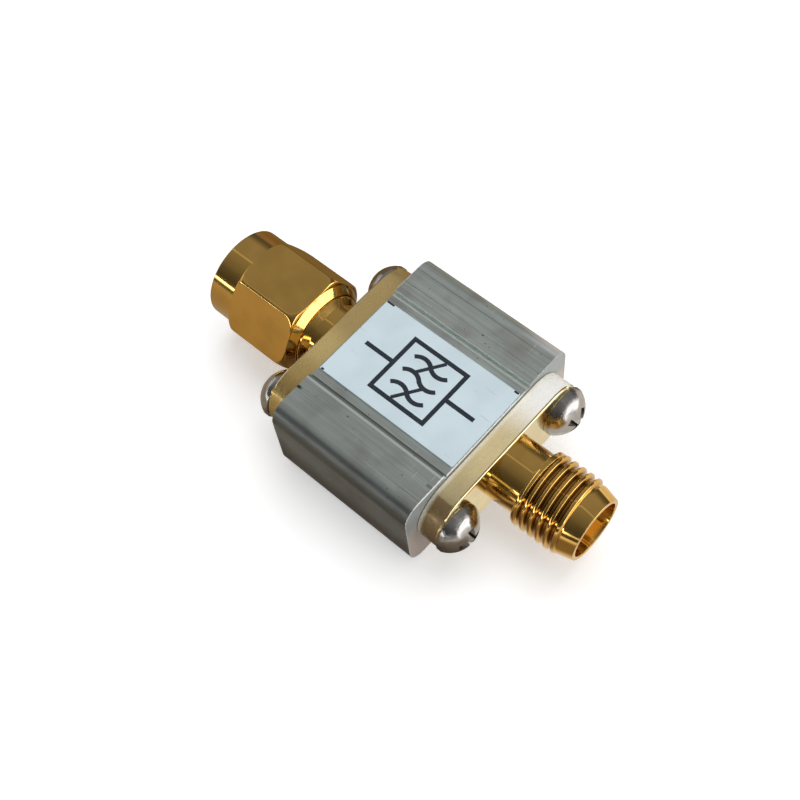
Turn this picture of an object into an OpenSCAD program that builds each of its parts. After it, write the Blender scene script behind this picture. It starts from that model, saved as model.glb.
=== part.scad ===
// In-line coaxial band-pass filter: an extruded aluminium box with a screw-on
// coaxial plug at one end and a threaded coaxial jack at the other.
// Millimetres. X runs along the connectors from plug to jack, Z is up, and the
// origin is the middle of the underside, so the box stands on Z = 0.

/* [Housing] */
// Length of the extruded box between the two flanges
body_length = 13.1; // [12.5:0.1:40]
// Width of the box across the connectors
body_width = 18; // [17:0.1:30]
// Height of the connector axis above the underside
axis_height = 4.65; // [4.6:0.05:8]
// Rise of the top face above the connector axis
top_rise = 3.45; // [3.2:0.05:6]
// Radius of the four long outer edges
edge_radius = 1.5; // [0.5:0.1:2.5]
// Width of the space for the circuit board
cavity_width = 8.8; // [7:0.1:9]
// Height of the space for the circuit board
cavity_height = 5.2; // [4:0.1:5.4]
// Depth of the slots that hold the board's edges
board_slot_depth = 0.3; // [0.15:0.05:0.4]
// Width of the sunken band along the top
channel_width = 9.46; // [7:0.02:13]
// Depth of the sunken band
channel_depth = 0.3; // [0.15:0.05:0.5]
// Width of the fine groove at each foot of the band
foot_groove_width = 0.2; // [0.1:0.05:0.3]
// Depth of that groove below the band
foot_groove_depth = 0.12; // [0.05:0.01:0.3]

/* [Label] */
// Width of the label
label_width = 8.5; // [5:0.1:8.9]
// Thickness of the label
label_thickness = 0.1; // [0.05:0.01:0.14]
// Bare strip left at the plug's end
label_plug_gap = 0.35; // [0:0.05:2]
// Bare strip left at the jack's end
label_jack_gap = 0.12; // [0:0.02:2]

/* [Flanges] */
// Length across the rounded ends
flange_length = 16; // [15.2:0.1:16.8]
// Height, which is also the width of the rounded ends
flange_height = 5.7; // [5.7:0.1:6.4]
// Thickness
flange_thickness = 1.9; // [1.2:0.1:2.5]
// Bevel round the outer face
flange_bevel = 0.2; // [0.05:0.05:0.4]

/* [Flange screws] */
// Distance between the two screws of a flange
screw_spacing = 12.2; // [11.8:0.1:12.4]
// Thread diameter
screw_diameter = 2; // [1.6:0.1:2.2]
// Length of thread inside the box
screw_reach = 3.8; // [2:0.1:5]
// Diameter of the plain channels that the threads are cut into
core_diameter = 1.6; // [1.2:0.1:1.6]
// Diameter of the domed head
head_diameter = 4.1; // [3.6:0.1:4.2]
// Height of the domed head
head_height = 1.75; // [1.3:0.05:1.9]
// Height of the head's straight rim
head_rim = 0.35; // [0.2:0.05:0.5]
// Span of the cross recess
cross_span = 2.3; // [1.6:0.1:2.6]
// Width of one arm of the cross
cross_width = 0.46; // [0.3:0.02:0.6]
// Depth of the cross at its middle
cross_depth = 1; // [0.6:0.1:1.1]

/* [Coupling nut] */
// Gap between the flange and the nut's rear end
nut_gap = 1.4; // [1.3:0.05:2.5]
// Length of the nut
nut_length = 9; // [8.6:0.1:12]
// Size across the flats
nut_flats = 7.95; // [7.8:0.05:8.6]
// Size across the turned corners
nut_corners = 9.1; // [8.6:0.05:9.1]
// Diameter of the round front collar
nut_collar_diameter = 7.7; // [7.3:0.05:7.8]
// Length of the round front collar
nut_collar_length = 2.3; // [1:0.1:3]
// Slope of the long chamfer in front of the corners, in degrees
nut_front_slope = 38; // [15:1:45]
// Diameter of the round land at the rear
nut_land_diameter = 7.1; // [7:0.05:7.4]
// Length of the round land at the rear
nut_land_length = 0.4; // [0.1:0.05:0.8]
// Diameter of the bore that takes the thread
nut_bore_diameter = 6.4; // [6.4:0.05:6.6]
// Chamfer at the mouth of that bore
nut_mouth_chamfer = 0.2; // [0.05:0.05:0.25]
// Depth of the seat over the plug's collar
nut_seat_depth = 0.65; // [0.4:0.05:0.9]
// Thickness of the inner lip behind the snap ring
nut_lip_thickness = 0.85; // [0.5:0.05:1.2]

/* [Plug] */
// Diameter of the neck beside the flange
neck_diameter = 5.6; // [5.5:0.1:5.9]
// Length of the neck before its cone
neck_length = 0.8; // [0.5:0.1:0.8]
// Diameter of the collar in the nut's rear seat
collar_diameter = 6.6; // [6.4:0.05:6.65]
// Diameter of the barrel that carries the nut
barrel_diameter = 5.5; // [5.2:0.05:5.7]
// Outer diameter of the thin front tube
ferrule_diameter = 4.59; // [4.5:0.01:4.6]
// Setback of the front tube from the nut's mouth
ferrule_setback = 2.4; // [2.2:0.1:2.8]
// Depth that a mated jack reaches over the front tube
mating_depth = 1.9; // [1.7:0.05:2]
// Diameter of the centre pin's tip
pin_diameter = 0.91; // [0.85:0.01:0.94]
// Setback of the pin's tip from the nut's mouth
pin_setback = 0.2; // [0.05:0.05:0.6]
// Length of the pin's tapered end
pin_taper = 0.3; // [0.1:0.05:0.5]
// Width of the snap ring along the axis
ring_width = 0.5; // [0.3:0.05:0.6]
// Depth of the groove that holds the snap ring
ring_groove_depth = 0.4; // [0.2:0.05:0.45]
// Opening of the snap ring
ring_opening = 1.2; // [0.6:0.1:2]
// Thickness of the rubber gasket along the axis
gasket_thickness = 0.8; // [0.5:0.05:1.2]
// Step on the radius from the front tube to the gasket's seat
gasket_seat_step = 0.3; // [0.25:0.05:0.35]

/* [Jack] */
// Diameter of the plain barrel
jack_barrel_diameter = 5.3; // [5:0.05:5.6]
// Length of the plain barrel
jack_barrel_length = 2.63; // [2.53:0.05:6]
// Outer diameter of the thread
thread_diameter = 6.35; // [6.2:0.01:6.35]
// Length of the thread
thread_length = 3.8; // [3:0.1:6]
// Diameter of the smooth nose where the thread ends
nose_diameter = 5.95; // [5.6:0.05:6]
// Length of the smooth nose
nose_length = 1.45; // [1:0.05:2.5]
// Outer diameter of the nose's rim
rim_diameter = 5.3; // [5.1:0.05:5.5]
// Diameter of the jack's mouth
mouth_diameter = 4.62; // [4.6:0.01:4.7]
// Depth of the mouth down to the insulator
mouth_depth = 1.95; // [1.9:0.05:2.2]
// Bore of the centre contact
socket_diameter = 0.94; // [0.92:0.01:1]
// Depth of that bore
socket_depth = 2.2; // [2:0.1:3]
// Length of the slits that make the contact springy
slit_length = 1.8; // [1:0.1:1.9]
// Width of each slit
slit_width = 0.14; // [0.08:0.02:0.16]

/* [Insulators and conductors] */
// Diameter of both insulators
insulator_diameter = 4.1; // [3.9:0.02:4.12]
// Diameter of both centre conductors inside the insulators
conductor_diameter = 1.27; // [1.24:0.01:1.4]
// Diameter of the conductors' tails on the board
tail_diameter = 0.8; // [0.6:0.05:1]
// Length of the tails over the board
tail_length = 1.6; // [1:0.1:2]

/* [Circuit board] */
// Thickness of the board
board_thickness = 0.8; // [0.5:0.1:1]
// Gap between the board's ends and the flanges
board_end_gap = 0.1; // [0.05:0.05:0.4]
// Thickness of the copper, drawn a little heavy
copper_thickness = 0.05; // [0.03:0.01:0.07]
// Width of the signal track
track_width = 1.4; // [0.9:0.1:1.6]
// Gap between the signal track and the ground areas
track_gap = 0.3; // [0.15:0.05:0.5]
// Side of the square filter chip
chip_side = 3; // [2.5:0.1:3.6]
// Height of the filter chip's base
chip_height = 0.9; // [0.5:0.1:1.4]
// Height of the lid on the chip
lid_height = 0.25; // [0.1:0.05:0.5]
// Margin of the chip's base round its lid
lid_margin = 0.15; // [0.05:0.05:0.4]
// Length of the small two-ended parts
small_length = 1; // [0.8:0.05:1.1]
// Width of the small capacitors
capacitor_width = 0.5; // [0.3:0.05:0.8]
// Height of the small capacitors
capacitor_height = 0.5; // [0.3:0.05:0.8]
// Width of the small coils
inductor_width = 0.6; // [0.4:0.05:0.8]
// Height of the small coils
inductor_height = 0.6; // [0.4:0.05:0.9]
// Distance of the capacitors from the board's middle
capacitor_place = 4.1; // [4:0.05:4.2]
// Distance of the coils from the board's middle
inductor_place = 2.6; // [2.4:0.05:2.8]
// Length of track under each side of the chip
chip_pad = 0.3; // [0.1:0.05:0.6]
// Thickness of the solder round the tails
solder_cover = 0.3; // [0.15:0.05:0.4]
// Bare length of the tails beside the insulators
solder_setback = 0.2; // [0.1:0.05:0.4]
// Height of the solder at the ends of the small parts
solder_rise = 0.25; // [0.1:0.05:0.3]

/* [Fits] */
// Running clearance of the turning nut, on the radius
running_gap = 0.05; // [0.02:0.01:0.09]
// Axial play of the turning nut at each stop
axial_play = 0.05; // [0.03:0.01:0.1]
// Clearance of fitted pieces that don't move, on the radius
seat_gap = 0.02; // [0.01:0.01:0.04]
// Clearance of a screw in its flange, on the radius
screw_gap = 0.1; // [0.05:0.05:0.2]
// Clearance of the board in its slots
board_gap = 0.05; // [0.02:0.01:0.1]

/* [Hidden] */
$fn = 72;

// Small extra length that lets a cut pass cleanly through a face
cut = 0.5;

// Stations along a connector, from the housing's end face outwards
nut_rear = flange_thickness + nut_gap;
nut_front = nut_rear + nut_length;
hex_front = nut_front - nut_collar_length;
seat_end = nut_rear + nut_seat_depth;
lip_end = seat_end + nut_lip_thickness;
collar_front = seat_end - axial_play;
groove_rear = lip_end;
ring_rear = lip_end + axial_play;
groove_front = ring_rear + ring_width + axial_play;
ferrule_front = nut_front - ferrule_setback;
gasket_front = ferrule_front - mating_depth;
barrel_front = gasket_front - gasket_thickness;
pin_front = nut_front - pin_setback;
thread_rear = flange_thickness + jack_barrel_length;
thread_front = thread_rear + thread_length;
jack_front = thread_front + nose_length;
mouth_floor = jack_front - mouth_depth;
cone_end = flange_thickness + neck_length + (collar_diameter - neck_diameter) / 2;

// Heights of the circuit board
copper_top = axis_height - tail_diameter / 2;
board_top = copper_top - copper_thickness;
board_bottom = board_top - board_thickness;
board_length = body_length - 2 * board_end_gap;
board_width = cavity_width + 2 * board_slot_depth - 2 * board_gap;
copper_half_length = board_length / 2 - board_end_gap;
copper_half_width = cavity_width / 2 - 2 * board_gap;
pad_split = small_length / 4;
nose_step = (thread_diameter - nose_diameter) / 2;

aluminium = "#a5a59c";
pale_gold = "#d9c48c";
deep_gold = "#c8963c";
steel = "#b4b4b4";
paper = "#c8d4e0";
rubber = "#a03020";
ptfe = "#f2f2ec";
laminate = "#2f6b3c";
copper = "#d08a4a";
ceramic = "#e6e0d0";
tin = "#c4c6c8";

// Places its children on the plug's end face, with their Z axis outwards
module on_plug_end() {
    translate([-body_length / 2, 0, axis_height])
        rotate([0, -90, 0])
            children();
}

// Places its children on the jack's end face, with their Z axis outwards
module on_jack_end() {
    translate([body_length / 2, 0, axis_height])
        rotate([0, 90, 0])
            children();
}

// Extrudes a section, drawn across the box, along the whole box
module along_body(extra = 0) {
    translate([-body_length / 2 - extra, 0, 0])
        rotate([90, 0, 90])
            linear_extrude(body_length + 2 * extra)
                children();
}

// A block that stands on the board's copper, given by its middle and size
module on_copper(x, y, size) {
    translate([x - size.x / 2, y - size.y / 2, copper_top])
        cube(size);
}

module rounded_box_section() {
    body_height = axis_height + top_rise;
    translate([-body_width / 2, edge_radius])
        square([body_width, body_height - 2 * edge_radius]);
    translate([edge_radius - body_width / 2, 0])
        square([body_width - 2 * edge_radius, body_height]);
    for (side = [-1, 1], level = [edge_radius, body_height - edge_radius])
        translate([side * (body_width / 2 - edge_radius), level])
            circle(r = edge_radius);
}

module label_channel_section() {
    floor_level = axis_height + top_rise - channel_depth;
    translate([-channel_width / 2, floor_level])
        square([channel_width, channel_depth + cut]);
    for (side = [-1, 1])
        translate([side * (channel_width - foot_groove_width) / 2
                   - foot_groove_width / 2, floor_level - foot_groove_depth])
            square([foot_groove_width, foot_groove_depth + channel_depth]);
}

module cavity_section() {
    slot_width = cavity_width + 2 * board_slot_depth;
    translate([-cavity_width / 2, axis_height - cavity_height / 2])
        square([cavity_width, cavity_height]);
    translate([-slot_width / 2, board_bottom])
        square([slot_width, board_thickness + 2 * board_gap]);
}

module housing() {
    tap_depth = screw_reach + 2 * cut;
    color(aluminium)
        difference() {
            along_body() rounded_box_section();
            along_body(cut) label_channel_section();
            along_body(cut) cavity_section();
            for (side = [-1, 1])
                translate([0, side * screw_spacing / 2, axis_height])
                    rotate([0, 90, 0]) {
                        cylinder(h = body_length + 2 * cut,
                                 d = core_diameter, center = true);
                        for (end = [-1, 1])
                            translate([0, 0, end * (body_length / 2 + cut - tap_depth / 2)])
                                cylinder(h = tap_depth,
                                         r = screw_diameter / 2 + seat_gap, center = true);
                    }
        }
}

module label() {
    label_length = body_length - label_plug_gap - label_jack_gap;
    color(paper)
        translate([label_plug_gap - body_length / 2, -label_width / 2,
                   axis_height + top_rise - channel_depth])
            cube([label_length, label_width, label_thickness]);
}

// Slab with round ends and a bevelled outer edge, drilled for two screws
module flange() {
    straight = flange_length - flange_height;
    wall = flange_thickness - flange_bevel;
    half = flange_height / 2;
    difference() {
        union() {
            rotate([90, 0, 0])
                linear_extrude(straight, center = true)
                    polygon([[-half, 0], [half, 0], [half, wall],
                             [half - flange_bevel, flange_thickness],
                             [flange_bevel - half, flange_thickness], [-half, wall]]);
            for (side = [-1, 1])
                translate([0, side * straight / 2, 0]) {
                    cylinder(h = wall, r = half);
                    translate([0, 0, wall])
                        cylinder(h = flange_bevel, r1 = half, r2 = half - flange_bevel);
                }
        }
        for (side = [-1, 1])
            translate([0, side * screw_spacing / 2, -cut])
                cylinder(h = flange_thickness + 2 * cut, r = screw_diameter / 2 + screw_gap);
    }
}

// Two domed screws with a cross recess, seated on a flange
module flange_screws() {
    dome_height = head_height - head_rim;
    dome_radius = (pow(head_diameter / 2, 2) + pow(dome_height, 2)) / (2 * dome_height);
    for (side = [-1, 1])
        translate([0, side * screw_spacing / 2, flange_thickness]) {
            translate([0, 0, -flange_thickness - screw_reach])
                cylinder(h = flange_thickness + screw_reach, d = screw_diameter);
            difference() {
                intersection() {
                    cylinder(h = head_height, d = head_diameter);
                    translate([0, 0, head_height - dome_radius])
                        sphere(r = dome_radius);
                }
                cross_recess(side);
            }
        }
}

// Cross-shaped recess that narrows downwards; each screw stopped at its own angle
module cross_recess(side) {
    rotate([0, 0, 20 + 25 * side])
        intersection() {
            union() {
                for (turn = [0, 90])
                    rotate([0, 0, turn])
                        translate([-cross_span, -cross_width / 2, head_height - cross_depth])
                            cube([2 * cross_span, cross_width, cross_depth + cut]);
            }
            translate([0, 0, head_height - cross_depth])
                cylinder(h = cross_depth + cut, r1 = cross_width / 2,
                         r2 = cross_span / 2 * (1 + cut / cross_depth));
        }
}

// Outer profile of the turned plug body in front of its flange
module plug_turning() {
    neck = neck_diameter / 2;
    collar = collar_diameter / 2;
    barrel = barrel_diameter / 2;
    ferrule = ferrule_diameter / 2;
    groove = barrel - ring_groove_depth;
    rotate_extrude()
        polygon([
            [0, 0], [neck, 0],
            [neck, flange_thickness + neck_length],
            [collar, cone_end], [collar, collar_front],
            [barrel, collar_front], [barrel, groove_rear],
            [groove, groove_rear], [groove, groove_front], [barrel, groove_front],
            [barrel, barrel_front], [ferrule + gasket_seat_step, barrel_front],
            [ferrule + gasket_seat_step, gasket_front], [ferrule, gasket_front],
            [ferrule, ferrule_front], [0, ferrule_front]
        ]);
}

module plug_shell() {
    color(pale_gold)
        on_plug_end()
            difference() {
                union() {
                    flange();
                    plug_turning();
                }
                translate([0, 0, -cut])
                    cylinder(h = ferrule_front + 2 * cut, r = insulator_diameter / 2 + seat_gap);
            }
}

// Turned outline that rounds the hexagon's corners off at both ends
module nut_turning() {
    corner = nut_corners / 2;
    front = nut_collar_diameter / 2;
    land = nut_land_diameter / 2;
    front_run = (corner - front) / tan(nut_front_slope);
    hex_rear = nut_rear + nut_land_length;
    rotate_extrude()
        polygon([
            [0, hex_rear], [land, hex_rear],
            [corner, hex_rear + corner - land],
            [corner, hex_front - front_run],
            [front, hex_front], [0, hex_front]
        ]);
}

module nut_bore() {
    seat = collar_diameter / 2 + running_gap;
    lip = barrel_diameter / 2 + running_gap;
    thread = nut_bore_diameter / 2;
    rotate_extrude()
        polygon([
            [0, nut_rear - cut], [seat, nut_rear - cut], [seat, seat_end],
            [lip, seat_end], [lip, lip_end],
            [thread, lip_end], [thread, nut_front - nut_mouth_chamfer],
            [thread + nut_mouth_chamfer + cut, nut_front + cut],
            [0, nut_front + cut]
        ]);
}

module coupling_nut() {
    color(deep_gold)
        on_plug_end()
            difference() {
                union() {
                    intersection() {
                        nut_turning();
                        translate([0, 0, nut_rear])
                            rotate([0, 0, 30])
                                cylinder(h = nut_length, r = nut_flats / 2 / cos(30), $fn = 6);
                    }
                    translate([0, 0, nut_rear])
                        cylinder(h = nut_land_length + cut, d = nut_land_diameter);
                    translate([0, 0, hex_front - cut])
                        cylinder(h = nut_collar_length + cut, d = nut_collar_diameter);
                }
                nut_bore();
            }
}

module nut_snap_ring() {
    inner = barrel_diameter / 2 - ring_groove_depth;
    outer = nut_bore_diameter / 2 - 2 * running_gap;
    color(steel)
        on_plug_end()
            translate([0, 0, ring_rear])
                difference() {
                    cylinder(h = ring_width, r = outer);
                    translate([0, 0, -cut])
                        cylinder(h = ring_width + 2 * cut, r = inner);
                    translate([-outer - cut, -ring_opening / 2, -cut])
                        cube([outer + cut, ring_opening, ring_width + 2 * cut]);
                }
}

module plug_gasket() {
    color(rubber)
        on_plug_end()
            translate([0, 0, barrel_front])
                difference() {
                    cylinder(h = gasket_thickness, r = nut_bore_diameter / 2 - 2 * running_gap);
                    translate([0, 0, -cut])
                        cylinder(h = gasket_thickness + 2 * cut,
                                 r = ferrule_diameter / 2 + gasket_seat_step);
                }
}

// Round insulator from the housing's end face to a given station
module insulator(front) {
    difference() {
        cylinder(h = front, d = insulator_diameter);
        translate([0, 0, -cut])
            cylinder(h = front + 2 * cut, r = conductor_diameter / 2 + seat_gap);
    }
}

module plug_insulator() {
    color(ptfe)
        on_plug_end()
            insulator(ferrule_front);
}

module jack_insulator() {
    color(ptfe)
        on_jack_end()
            insulator(mouth_floor);
}

module plug_pin() {
    body = conductor_diameter / 2;
    tail = tail_diameter / 2;
    tip = pin_diameter / 2;
    color(deep_gold)
        on_plug_end()
            rotate_extrude()
                polygon([
                    [0, -tail_length], [tail, -tail_length], [tail, 0],
                    [body, 0], [body, ferrule_front],
                    [tip, ferrule_front], [tip, pin_front - pin_taper],
                    [tip / 2, pin_front], [0, pin_front]
                ]);
}

// Outer profile of the turned jack body in front of its flange
module jack_turning() {
    barrel = jack_barrel_diameter / 2;
    thread = thread_diameter / 2;
    nose = nose_diameter / 2;
    rim = rim_diameter / 2;
    rotate_extrude()
        polygon([
            [0, 0], [barrel, 0], [barrel, thread_rear],
            [thread, thread_rear], [thread, thread_front],
            [nose, thread_front + nose_step], [rim, jack_front], [0, jack_front]
        ]);
}

module jack_shell() {
    color(pale_gold)
        on_jack_end()
            difference() {
                union() {
                    flange();
                    jack_turning();
                }
                translate([0, 0, -cut])
                    cylinder(h = jack_front + 2 * cut, r = insulator_diameter / 2 + seat_gap);
                translate([0, 0, mouth_floor])
                    cylinder(h = mouth_depth + cut, d = mouth_diameter);
            }
}

module jack_contact() {
    color(deep_gold)
        on_jack_end()
            difference() {
                union() {
                    translate([0, 0, -tail_length])
                        cylinder(h = tail_length + cut, d = tail_diameter);
                    cylinder(h = mouth_floor, d = conductor_diameter);
                }
                translate([0, 0, mouth_floor - socket_depth])
                    cylinder(h = socket_depth + cut, d = socket_diameter);
                for (turn = [45, 135])
                    rotate([0, 0, turn])
                        translate([-conductor_diameter, -slit_width / 2,
                                   mouth_floor - slit_length])
                            cube([2 * conductor_diameter, slit_width, slit_length + cut]);
            }
}

module plug_flange_screws() {
    color(steel)
        on_plug_end()
            flange_screws();
}

module jack_flange_screws() {
    color(steel)
        on_jack_end()
            flange_screws();
}

module circuit_board() {
    color(laminate)
        translate([-board_length / 2, -board_width / 2, board_bottom])
            cube([board_length, board_width, board_thickness]);
}

// Signal track in four lengths: two to the connectors and two to the chip
module signal_tracks() {
    chip_reach = chip_side / 2 - chip_pad;
    color(copper)
        for (side = [-1, 1]) {
            track_piece(side * (capacitor_place + pad_split), side * copper_half_length);
            track_piece(side * chip_reach, side * (capacitor_place - pad_split));
        }
}

module track_piece(from, to) {
    translate([min(from, to), -track_width / 2, board_top])
        cube([abs(to - from), track_width, copper_thickness]);
}

// Ground areas beside the track, and the plane under the board
module ground_copper() {
    inner = track_width / 2 + track_gap;
    color(copper) {
        for (side = [-1, 1])
            translate([-copper_half_length, side > 0 ? inner : -copper_half_width, board_top])
                cube([2 * copper_half_length, copper_half_width - inner, copper_thickness]);
        translate([-copper_half_length, -copper_half_width, board_bottom - copper_thickness])
            cube([2 * copper_half_length, 2 * copper_half_width, copper_thickness]);
    }
}

module filter_chip() {
    color(ceramic)
        on_copper(0, 0, [chip_side, chip_side, chip_height]);
}

module filter_chip_lid() {
    lid_side = chip_side - 2 * lid_margin;
    color(tin)
        translate([0, 0, chip_height])
            on_copper(0, 0, [lid_side, lid_side, lid_height]);
}

// Capacitor in line with the track, on the plug's side (-1) or the jack's (1)
module capacitor(side) {
    color("#b08a5c")
        on_copper(side * capacitor_place, 0, [small_length, capacitor_width, capacitor_height]);
}

// Distance of the coils' middle from the track's middle, across the track's gap
inductor_offset = track_width / 2 + track_gap / 2;

// Coil from the track to the ground area
module inductor(side) {
    color("#3c4650")
        on_copper(side * inductor_place, inductor_offset,
                  [inductor_width, small_length, inductor_height]);
}

module input_capacitor() { capacitor(-1); }

module output_capacitor() { capacitor(1); }

module input_inductor() { inductor(-1); }

module output_inductor() { inductor(1); }

// Loaf of solder over a conductor's tail, down to the copper
module tail_solder() {
    tail = tail_diameter / 2;
    loaf = tail + solder_cover;
    inner_end = -tail_length - solder_cover;
    color(tin)
        difference() {
            rotate_extrude()
                polygon([
                    [0, inner_end], [tail, inner_end],
                    [loaf, inner_end + 2 * solder_cover],
                    [loaf, -solder_setback - solder_cover],
                    [tail, -solder_setback], [0, -solder_setback]
                ]);
            translate([0, 0, -tail_length])
                cylinder(h = tail_length, d = tail_diameter);
        }
}

module plug_solder_joint() {
    intersection() {
        on_plug_end() tail_solder();
        above_copper();
    }
}

module jack_solder_joint() {
    intersection() {
        on_jack_end() tail_solder();
        above_copper();
    }
}

// Block that reaches from the copper's surface up into the cavity
module above_copper() {
    color(tin)
        translate([-body_length / 2, -cavity_width / 2, copper_top])
            cube([body_length, cavity_width, cavity_height]);
}

// Wedge of solder at one end of a small part; turn points away from the part
module fillet(x, y, turn, width) {
    translate([x, y, copper_top])
        rotate([90, 0, turn])
            linear_extrude(width, center = true)
                polygon([[0, 0], [solder_rise / 2, 0], [0, solder_rise]]);
}

module component_solder() {
    half = small_length / 2;
    color(tin)
        for (side = [-1, 1]) {
            for (end = [-1, 1]) {
                fillet(side * capacitor_place + end * half, 0,
                       end > 0 ? 0 : 180, capacitor_width);
                fillet(side * inductor_place, inductor_offset + end * half,
                       end * 90, inductor_width);
            }
            fillet(side * chip_side / 2, 0, side > 0 ? 0 : 180, track_width / 2);
            for (row = [-1, 1])
                fillet(row * chip_side / 5, side * chip_side / 2, side * 90, chip_side / 5);
        }
}

housing();
label();
plug_shell();
coupling_nut();
nut_snap_ring();
plug_gasket();
plug_insulator();
plug_pin();
plug_flange_screws();
jack_shell();
jack_insulator();
jack_contact();
jack_flange_screws();
circuit_board();
signal_tracks();
ground_copper();
filter_chip();
filter_chip_lid();
input_capacitor();
output_capacitor();
input_inductor();
output_inductor();
plug_solder_joint();
jack_solder_joint();
component_solder();
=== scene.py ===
"""Looks of the in-line coaxial filter, made as a Blender add-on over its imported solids."""
import math

import bmesh
import bpy
from bpy.props import FloatProperty, FloatVectorProperty, IntProperty, PointerProperty
from mathutils import Matrix, Vector


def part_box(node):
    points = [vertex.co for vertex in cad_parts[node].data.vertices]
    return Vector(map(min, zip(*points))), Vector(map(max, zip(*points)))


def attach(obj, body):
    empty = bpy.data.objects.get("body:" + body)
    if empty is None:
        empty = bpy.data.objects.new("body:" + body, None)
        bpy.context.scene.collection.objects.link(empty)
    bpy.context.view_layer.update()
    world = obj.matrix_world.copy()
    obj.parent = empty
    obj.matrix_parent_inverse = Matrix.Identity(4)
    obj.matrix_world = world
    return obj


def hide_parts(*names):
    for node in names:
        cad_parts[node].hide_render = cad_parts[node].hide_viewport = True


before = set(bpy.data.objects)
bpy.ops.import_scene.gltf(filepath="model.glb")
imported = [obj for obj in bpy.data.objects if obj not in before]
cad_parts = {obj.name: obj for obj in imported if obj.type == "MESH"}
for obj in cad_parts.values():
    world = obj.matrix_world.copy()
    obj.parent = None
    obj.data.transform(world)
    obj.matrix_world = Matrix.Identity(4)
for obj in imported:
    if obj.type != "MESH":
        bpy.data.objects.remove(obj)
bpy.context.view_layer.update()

bl_info = {
    "name": "Coaxial filter",
    "version": (1, 0, 0),
    "blender": (4, 5, 0),
    "location": "3D View > Sidebar > Filter",
    "description": "Dresses an in-line coaxial filter",
    "category": "Object",
}

MM = 0.001
# Below this, two places count as one
NUDGE = 0.0005 * MM
# How far a turned body reaches into its flange
OVERLAP = 0.1 * MM
# Radius of the fine bore that a turned pin keeps on its axis
CORE = 0.01 * MM

# Corners and ends of the solids that the pieces are fitted to
housing_low, housing_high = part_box("housing")
label_low, label_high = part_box("label")
board_low, board_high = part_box("circuit_board")
plug_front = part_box("plug_shell")[0].x
jack_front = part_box("jack_shell")[1].x
nut_low, nut_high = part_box("coupling_nut")
ring_low, ring_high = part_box("nut_snap_ring")
gasket_low, gasket_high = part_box("plug_gasket")
pin_low, pin_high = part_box("plug_pin")
contact_low, contact_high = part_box("jack_contact")
mouth_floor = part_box("jack_insulator")[1].x
AXIS_HEIGHT = (nut_low.z + nut_high.z) / 2


def length(label, text, size):
    """A length in the sidebar, given in millimetres."""
    return FloatProperty(name=label, description=text, default=size * MM, min=0,
                         unit="LENGTH", subtype="DISTANCE", precision=5)


def colour(label, text, red, green, blue):
    """A colour in the sidebar."""
    return FloatVectorProperty(name=label, description=text, subtype="COLOR", size=3,
                               min=0, max=1, default=(red, green, blue))


def angle(label, text, degrees):
    """An angle in the sidebar, given in degrees."""
    return FloatProperty(name=label, description=text, default=math.radians(degrees),
                         subtype="ANGLE")


def share(label, text, value, top=1):
    """A plain number in the sidebar."""
    return FloatProperty(name=label, description=text, default=value, min=0, max=top)


class HousingSettings(bpy.types.PropertyGroup):
    edge_radius: length("Edge radius", "Radius of the four long edges", 1.5)
    band_width: length("Band width", "Width of the sunken band on top", 9.46)
    band_depth: length("Band depth", "Depth of the sunken band", 0.3)
    groove_width: length("Groove width", "Width of the groove at each foot of the band", 0.2)
    groove_depth: length("Groove depth", "Depth of that groove", 0.12)
    cavity_width: length("Cavity width", "Width of the space for the board", 8.8)
    cavity_height: length("Cavity height", "Height of the space for the board", 5.2)
    slot_depth: length("Slot depth", "Depth of the slots that hold the board", 0.3)
    screw_bore: length("Screw bore", "Radius of the tapped channels", 1)
    end_round: length("End rounding", "Worn rounding of the cut ends", 0.1)
    metal: colour("Metal", "Colour of the extruded metal", 0.54, 0.59, 0.56)
    stain: colour("Stain", "Colour of the brown stains", 0.2, 0.13, 0.08)


class LabelSettings(bpy.types.PropertyGroup):
    width: length("Width", "Width of the label", 7.65)
    end_gap: length("End gap", "Bare strip at each end of the label", 0.11)
    corner: length("Corner", "Radius of the label's corners", 0.12)
    line: length("Line", "Width of the printed lines", 0.36)
    symbol_side: length("Symbol", "Side of the printed square", 5.4)
    wave_radius: length("Wave radius", "Radius of the arcs of the printed waves", 1.15)
    wave_spacing: length("Wave spacing", "Distance between two waves", 1.35)
    mark_inset: length("Mark inset", "Distance of the small marks from the label's long edge", 0.1)
    ink_height: length("Ink height", "Thickness of the print", 0.008)
    film: colour("Film", "Colour of the label", 0.6, 0.72, 0.77)
    ink: colour("Ink", "Colour of the print", 0.012, 0.018, 0.027)


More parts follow.
